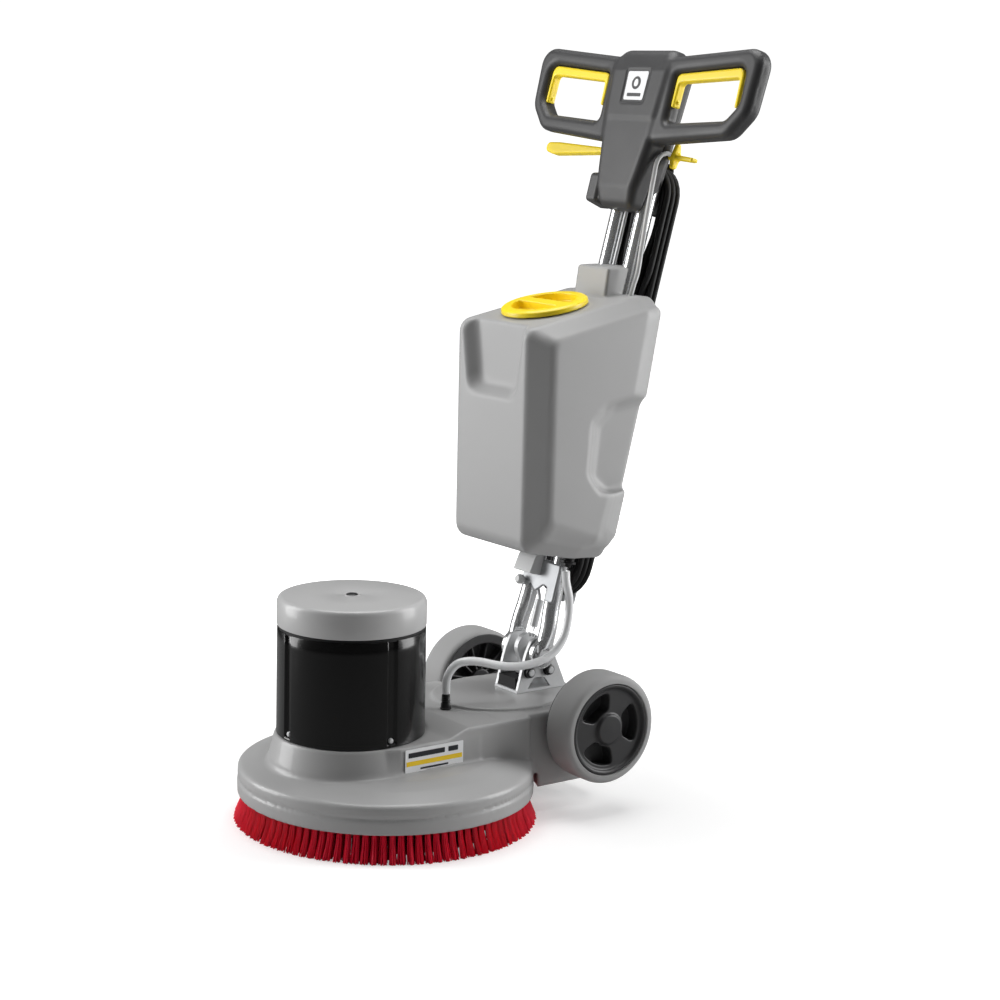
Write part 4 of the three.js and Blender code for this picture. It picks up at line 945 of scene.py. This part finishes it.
# ---- Tank -----------------------------------------------------------------------------------------------------------
def tank():
    f = Field((-112, 27, 344), (112, 264, 770), 2.2)
    across = np.abs(f.x)

    def outline(corners):
        return sideways(f, rounded(corners, 8))

    flat = outline([(30.5, 374, 22), (30.5, 686.6, 20), (226, 725.6, 14), (260, 725, 12), (237.5, 590, 300),
                    (184, 372, 16), (176, 352, 12), (124.6, 355.2, 60)])
    bend = outline([(49.5, 392, 18), (49.5, 675.7, 18), (226, 711, 12), (259.5, 711.5, 10), (237, 590, 300),
                    (187, 386, 14), (172, 372, 10), (124, 374, 30)])
    face = outline([(59.5, 413, 14), (59.5, 670, 14), (222, 703.4, 8), (231, 705.5, 5), (208, 585, 300), (154, 402, 10),
                    (148, 385.5, 6), (76, 411, 14)])
    first = np.minimum(smooth_max(across - 79, 0, 4) / 19, 1)
    second = np.clip((across - 98) / 10, 0, 1.3)
    body = flat + first * (bend - flat) + second * (face - bend)
    body = smooth_max(body * np.float32(0.85), across - 108, 6)
    v = (f.y - PIVOT[1]) * math.cos(LEAN) - (f.z - PIVOT[2]) * math.sin(LEAN)
    w = (f.y - PIVOT[1]) * math.sin(LEAN) + (f.z - PIVOT[2]) * math.cos(LEAN)
    channel = np.minimum(np.maximum(across - 41.6, -14.5 - v), np.maximum(across - 52, 13 - v))
    low = outline([(262, 579, 2), (215, 573, 12), (181, 569, 14), (153, 546, 18), (145, 472, 18), (169, 452, 16),
                   (200, 454, 12), (262, 450, 2)])
    high = outline([(262, 594, 2), (202, 587, 14), (154, 579, 16), (130, 555, 20), (125, 480, 20), (148, 452, 18),
                    (188, 448, 14), (262, 444, 2)])
    hand = low + np.clip((across - 90) / 18, 0, 1.4) * (high - low)
    body = smooth_cut(body, smooth_max(hand * np.float32(0.8), 90 - across, 8), 5)
    rise = np.clip((48.5 - f.y) / 18, 0, 1.3)
    half = 44 + 13 * rise + 13 * np.clip((f.z - 597) / 83, 0, 1.15)
    scoop = smooth_max((across - half) * np.float32(0.8), (599 - 13 * rise - f.z) * np.float32(0.8), 18)
    body = smooth_cut(body, smooth_max(scoop, f.y - 48.5, 7), 4)
    body = smooth_cut(body, channel, 3)
    neck = slab(outline([(201, 708, 3), (209, 764, 5), (259, 764, 5), (259, 700, 3)]), f.x, -36, 36, 4)
    bores = np.sqrt((across - TUBE_X) ** 2 + v ** 2) - TUBE_RADIUS - 0.5
    body = smooth_min(body, smooth_cut(neck, np.minimum(bores, 13 - v), 1), 3)
    hole = np.sqrt((f.x - ROD_X) ** 2 + (v - ROD_V) ** 2) - 8
    body = smooth_cut(body, np.maximum(hole, 476 - w), 2)
    notch = np.sqrt((f.x + ROD_X) ** 2 + (v + 8) ** 2) - 7.5
    body = smooth_cut(body, np.maximum(notch, 522 - w), 2)
    spout = np.maximum(np.sqrt((f.x - ROD_X) ** 2 + (v - ROD_V) ** 2) - 9.5, w - 190)
    body = smooth_cut(body, spout, 2)
    py, pz = f.y - FILLER[1], f.z - FILLER[2]
    up = -py * math.sin(FILLER_TILT) + pz * math.cos(FILLER_TILT)
    out = np.sqrt(f.x ** 2 + (py * math.cos(FILLER_TILT) + pz * math.sin(FILLER_TILT)) ** 2)
    lip = slab(out - 62, up, -6, 0.4, 2)
    body = smooth_min(body, lip, 4)
    body = smooth_cut(body, slab(out - 50, up, -28, 20, 1), 1)
    return skin("tank_shell", f, body, TANK_GREY)


def filler_cap():
    turn = np.array(Matrix.Rotation(FILLER_TILT, 3, "X"))
    f = Field((-66, -66, -12), (66, 66, 15), 0.9)
    radius = np.sqrt(f.x ** 2 + f.y ** 2)
    body = polygon(radius, f.z, fillet([(0, -10), (49, -10), (49, 2.6), (62, 2.6), (62.8, 3.4), (62.2, 9), (58, 11.6),
                                        (0, 12.4)], {5: 1.6, 6: 3}))
    pocket = smooth_max(smooth_max(radius - 47, 9 - np.abs(f.y), 8), -1 - f.z, 3)
    body = smooth_cut(body, pocket, 1.6)
    return skin("filler_cap_moulding", f, body, YELLOW, place=lambda p: p @ turn.T + FILLER)


# ---- Small parts ----------------------------------------------------------------------------------------------------
def cord_gland():
    profile = [(0.01, 664), (5.8, 664), (5.8, 648)]
    for k in range(6):
        w = 646 - 3.4 * k
        r = 5.7 - 0.14 * k
        profile += [(r, w), (r, w - 1.9), (r - 0.8, w - 2.2), (r - 0.8, w - 3.1)]
    profile += [(4.8, 624.3), (4.6, 624), (0.01, 624)]
    return spun("cord_gland_boot", profile, BLACK_RUBBER, (GLAND[0], GLAND[1], 0), segments=32, mast=True)


def plug():
    f = Field((-37, -16, 392), (37, 22, 456), 1.0)
    radius = np.sqrt(f.x ** 2 + f.y ** 2)
    core = polygon(radius, f.z, fillet([(0, 395), (6.4, 395), (7.6, 418), (14, 425), (18, 436), (18, 452), (0, 452)],
                                       {3: 6, 4: 8, 5: 2}))
    clip = brick(f, (-34, -14.5, 428), (34, -8.5, 442), 2)
    body = smooth_min(core, clip, 3)
    body = smooth_max(body, -14.5 - f.y, 1)
    for k in range(4):
        w = 400 + 4.2 * k
        body = smooth_cut(body, np.maximum(np.abs(f.z - w) - 0.8, 5.6 - radius), 0.4)
    shell = skin("plug_shell", f, body, BLACK_RUBBER, mast=True, place=lambda p: p + np.array([0, 59, 0]))
    pins = [spun(f"pin_{x}", fillet([(0.01, 471), (1.8, 471), (2.4, 469.6), (2.4, 450), (0.01, 450)], {1: 0.5}), ZINC,
                 (x, 59, 0), segments=20, mast=True) for x in (-9.5, 9.5)]
    return joined("mains_plug_moulding", [shell, *pins])


def hose_fitting():
    low = 146.3
    return spun("fitting_body", fillet([
        (0.01, low), (8, low), (8, low + 2), (7.2, low + 2.4), (7.2, low + 8), (6, low + 9.6), (6, low + 12),
        (6.6, low + 12.6), (5.8, low + 15), (6.4, low + 15.6), (5.6, low + 18), (6, low + 18.6), (5.4, low + 21.7),
        (0.01, low + 21.7)], {1: 0.6}), BLACK_PLASTIC, (20, -51, 0), segments=40)


def control_rod():
    line = smooth_line([(61, -6.2, 740.5), (60.6, -12, 740.8), (59.5, -19, 737), (58.4, -24, 727), (57.8, -23, 700),
                        (56.6, -13.5, 600), (56.2, -10, 566), (ROD_X, ROD_V, 540), (ROD_X, ROD_V, 400),
                        (ROD_X, ROD_V, 186)], 5)
    stem = tube("rod_stem", line, 3.4, PALE_PLASTIC, sides=20, mast=True)
    foot = spun("rod_foot", fillet([(0.01, 170), (6, 170), (8, 176), (8, 188), (0.01, 188)], {2: 1}), BLACK_PLASTIC,
                (ROD_X, ROD_V, 0), segments=28, mast=True)
    return joined("water_rod_stem", [stem, foot])


def bracket_bolt(node):
    """A bolt through both ears of the bracket: dark washer and head at each end, a pale stud in the middle."""
    middle = node_middle(node)
    parts = [spun("shank", [(0.01, -27), (4.8, -27), (4.8, 27), (0.01, 27)], ZINC, middle, axis="X", segments=32)]
    for sign in (1, -1):
        head = [(0.01, 27.4), (9, 27.4), (9, 28.6), (7.6, 29), (7.6, 33), (6.8, 33.6), (0.01, 33.6)]
        stud = [(0.01, 33.4), (4.9, 33.4), (4.9, 35.4), (4.2, 36), (0.01, 36)]
        for name, profile, material, sides in (("head", head, BLACK_PLASTIC, 48), ("stud", stud, ZINC, 32)):
            profile = [(r, sign * x) for r, x in profile][::sign]
            parts.append(spun(name, profile, material, middle, axis="X", segments=sides, angle=40))
    return joined(node + "_assembly", parts)


def deck_label():
    """The plain plate on the deck's right wall: white, with a yellow band, two dark bars and a thin line."""
    wall, step = 116.3, 0.35
    parts = []

    def plate(name, y0, y1, z0, z1, material, lift=step, r=1.5):
        outline = rounded([(y0, z0, r), (y1, z0, r), (y1, z1, r), (y0, z1, r)])
        layers = [[(wall + x, y, z) for y, z in outline] for x in (lift, lift + step)]
        parts.append(thin_plate(name, *layers, material))

    plate("plate", -185, -89, 96, 131, LABEL_WHITE, 0)
    plate("band", -183, -91, 107.5, 114, LABEL_YELLOW, r=0.4)
    plate("bar", -180, -120, 119, 126, LABEL_DARK, r=0.8)
    plate("bar_short", -114, -98, 119, 126, LABEL_DARK, r=0.8)
    plate("line", -160, -114, 101, 103.5, LABEL_DARK, r=0.6)
    return joined("deck_label", parts)


# ---- Build ----------------------------------------------------------------------------------------------------------
# CAD nodes that stay, with the width of their rounded edges in millimetres.
SOFTENED = (
    (ZINC, {"base_bracket": 0.8, "lock_sector": 0.6, "pivot_pin": 1, "drive_plate": 0.8, "lock_plunger": 0.3}),
    (BLACK_RUBBER, {"cable_boot": 3, "filler_seal": 0.3}),
    (CAST, {"gear_case_lid": 0.8, "motor_end_shield": 0.8}),
    (TURNED, {"spindle_bearing": 0.4, "motor_bearing_lower": 0.4, "motor_bearing_upper": 0.4, "wheel_axle": 0.8,
              "brush_spindle": 0.6, "drive_gear": 0, "rotor_core": 0.6, "motor_shaft": 0.5, "drive_pinion": 0}),
    (PALE_PLASTIC, {"start_capacitor": 1, "tank_clip": 1.2, "clamp_knob": 0.6}),
    (WINDING, {"motor_stator": 1}),
    (BLOCK, {"brush_block": 1.5}),
    (BLACK_PLASTIC, {"cooling_fan": 0.5, "switch_block": 1, "valve_body": 0.6}))


def build_bodies():
    barrel, screws = motor_barrel()
    seam, cap, plug_cap = motor_top()
    for obj, body, slot, *nodes in (
            (deck_casting(), "base", "deck_grey", "deck_housing"),
            (barrel, "base", "gloss_black", "motor_shell"), (screws, "base", "zinc_steel"),
            (seam, "base", "black_rubber"), (cap, "base", "deck_grey", "motor_cap"),
            (plug_cap, "base", "black_plastic"),
            (hose_fitting(), "base", "black_plastic", "hose_fitting"), (deck_label(), "base", "pale_plastic"),
            (bracket_bolt("bracket_bolt_front"), "base", "zinc_steel", "bracket_bolt_front"),
            (bracket_bolt("bracket_bolt_rear"), "base", "zinc_steel", "bracket_bolt_rear"),
            (bristles(), "brush", "bristle_red", "brush_bristles"),
            (mast_crosspiece(), "mast", "cast_aluminium", "mast_crosspiece"),
            (head_front(), "mast", "head_grey", "head_front_cover", "grip_right", "grip_left"),
            (head_rear(), "mast", "head_grey", "head_rear_cover"), (head_label(), "mast", "pale_plastic"),
            (side_box(), "mast", "head_grey", "head_side_box"), (tank(), "mast", "tank_grey", "water_tank"),
            (tilt_lever(), "tilt_release", "signal_yellow", "tilt_lever"),
            (water_lever(), "water_control", "signal_yellow", "water_lever"),
            (control_rod(), "valve_rod", "pale_plastic", "water_rod"),
            (filler_cap(), "cap", "signal_yellow", "filler_cap"),
            (safety_button(), "button", "signal_yellow", "safety_button"),
            (cable_hook(), "cord_hook", "black_rubber", "cable_hook_upper")):
        piece(obj, body, slot, *nodes)
    for side in ("right", "left"):
        piece(wheel_tyre(side), f"{side}_wheel", "tyre_grey", f"wheel_tyre_{side}")
        piece(wheel_rim(side), f"{side}_wheel", "rim_grey", f"wheel_rim_{side}")
        piece(mast_tube(side), "mast", "chrome", f"mast_tube_{side}")
        piece(trigger(side), f"{side}_trigger", "signal_yellow", f"trigger_{side}")
    for material, nodes in SOFTENED:
        for node, width in nodes.items():
            soften(node, width, material)


def build_cords():
    gland = piece(cord_gland(), "mast", "black_rubber", "cord_gland")
    plug_piece = piece(plug(), "mast", "black_rubber", "mains_plug")
    line = from_mast(smooth_line(LEAD + hank_line() + TAIL, 30))
    cable = cord_curve("mains_cord", line, CORD_D, BLACK_RUBBER)
    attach(cable, "mast")
    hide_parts("cord_hank", "cord_lead", "cord_tail")
    route = smooth_line(HOSE_ROUTE, 4)
    hose = tube("water_hose_clear", route, HOSE_D / 2, HOSE_CLEAR, sides=24)
    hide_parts("water_hose")
    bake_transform(hose)


# ---- Stage ----------------------------------------------------------------------------------------------------------
# The camera: which way it looks, in degrees from +Y, down from level and rolled, where it stands in metres, its focal
# length on a 36 mm sensor and its sideways shift.
HEADING, DOWN, ROLL = 53.67, 10.47, 1.26
CAMERA_PLACE = (2.5264, -1.8390, 1.0173)
FOCAL_LENGTH, SHIFT_X = 80.9, 0.0184
# Powers of the lights in watts, and the strengths of the world: as light, and as seen behind the object.
LEFT_POWER, RIGHT_POWER, TOP_POWER = 68, 66, 74
WORLD_LIGHT, WORLD_SEEN = 0.07, 1.05
# The floor's glow to the camera: its strength near the object, kept low there as painted shade round the object, and
# far away, and where it starts and ends to rise, in metres.
GLOW_NEAR_PAINTED_SHADE, GLOW_FAR, GLOW_START, GLOW_END = 0.36, 1.1, 0.45, 1.5


def grey(level):
    return level, level, level, 1


def camera():
    heading, down, roll = map(math.radians, (HEADING, DOWN, ROLL))
    right = Vector((math.cos(heading), math.sin(heading), 0))
    ahead = Vector((-math.sin(heading), math.cos(heading), 0))
    up = Vector((0, 0, 1))
    look = ahead * math.cos(down) - up * math.sin(down)
    top = up * math.cos(down) + ahead * math.sin(down)
    right, top = right * math.cos(roll) + top * math.sin(roll), top * math.cos(roll) - right * math.sin(roll)
    data = bpy.data.cameras.new("camera")
    data.sensor_width = 36
    data.lens = FOCAL_LENGTH
    data.shift_x = SHIFT_X
    data.clip_end = 50
    obj = bpy.data.objects.new("camera", data)
    obj.matrix_world = Matrix.Translation(CAMERA_PLACE) @ Matrix((right, top, -look)).transposed().to_4x4()
    bpy.context.collection.objects.link(obj)
    bpy.context.scene.camera = obj
    return right, ahead


def area_light(name, place, target, size, power):
    data = bpy.data.lights.new(name, "AREA")
    data.shape = "RECTANGLE"
    data.size, data.size_y = size
    data.energy = power
    obj = bpy.data.objects.new(name, data)
    obj.location = place
    obj.rotation_euler = (Vector(target) - Vector(place)).to_track_quat("-Z", "Y").to_euler()
    bpy.context.collection.objects.link(obj)


def floor():
    """A very large pale floor that glows to the camera: the glow is weaker near the object as painted shade round it,
    over the real shadow where the object shades it, and the floor is painted darker in reflections.
    """
    mesh = bpy.data.meshes.new("floor")
    mesh.from_pydata([(-400, -400, 0), (400, -400, 0), (400, 400, 0), (-400, 400, 0)], [], [(0, 1, 2, 3)])
    plane = bpy.data.objects.new("floor", mesh)
    bpy.context.collection.objects.link(plane)
    material, tree, shader, place = new_material("floor_white_painted_shade_and_reflection")
    rays = add(tree, "LightPath").outputs
    # The floor is painted darker for glossy rays only: a painted dark reflection in the chrome and other shiny parts.
    wire(tree, shader, Base_Color=mixed(tree, rays["Is Glossy Ray"], grey(0.7), grey(0.22)), Roughness=1,
         Specular_IOR_Level=0)
    reach = add(tree, "VectorMath", {"operation": "LENGTH"})
    tree.links.new(place, reach.inputs[0])
    # Weaker glow near the object: painted shade round it, on top of the real shadow.
    strength = add(tree, "MapRange", {"interpolation_type": "SMOOTHSTEP"}, Value=reach.outputs["Value"],
                   From_Min=GLOW_START, From_Max=GLOW_END, To_Min=GLOW_NEAR_PAINTED_SHADE, To_Max=GLOW_FAR)
    glow = add(tree, "Emission", Color=grey(1), Strength=strength.outputs["Result"])
    dark = add(tree, "Emission", Strength=0)
    both = add(tree, "AddShader")
    tree.links.new(shader.outputs["BSDF"], both.inputs[0])
    tree.links.new(chosen(tree, rays["Is Camera Ray"], dark.outputs["Emission"], glow.outputs["Emission"]),
                   both.inputs[1])
    tree.links.new(both.outputs["Shader"], tree.nodes["Material Output"].inputs["Surface"])
    mesh.materials.append(material)


def stage():
    right, ahead = camera()
    centre = Vector((0, 0, 0.5))
    floor()
    area_light("left", centre - right * 2.5 + ahead * 0.3 + Vector((0, 0, 0.5)), centre, (1.3, 2.4), LEFT_POWER)
    area_light("right", centre + right * 2.5 + ahead * 0.3 + Vector((0, 0, 0.5)), centre, (1.3, 2.4), RIGHT_POWER)
    area_light("top", centre + ahead * 0.4 + Vector((0, 0, 2.6)), centre, (2.4, 1.8), TOP_POWER)
    world = bpy.data.worlds.new("world")
    bpy.context.scene.world = world
    world.use_nodes = True
    tree = world.node_tree
    light = wire(tree, tree.nodes["Background"], Color=grey(0.9), Strength=WORLD_LIGHT)
    seen = add(tree, "Background", Color=grey(1), Strength=WORLD_SEEN)
    either = chosen(tree, add(tree, "LightPath").outputs["Is Camera Ray"], light.outputs["Background"],
                    seen.outputs["Background"])
    tree.links.new(either, tree.nodes["World Output"].inputs["Surface"])
    bpy.context.scene.view_settings.view_transform = "Standard"
    bpy.context.scene.view_settings.look = "None"


build_cords()
build_bodies()
stage()
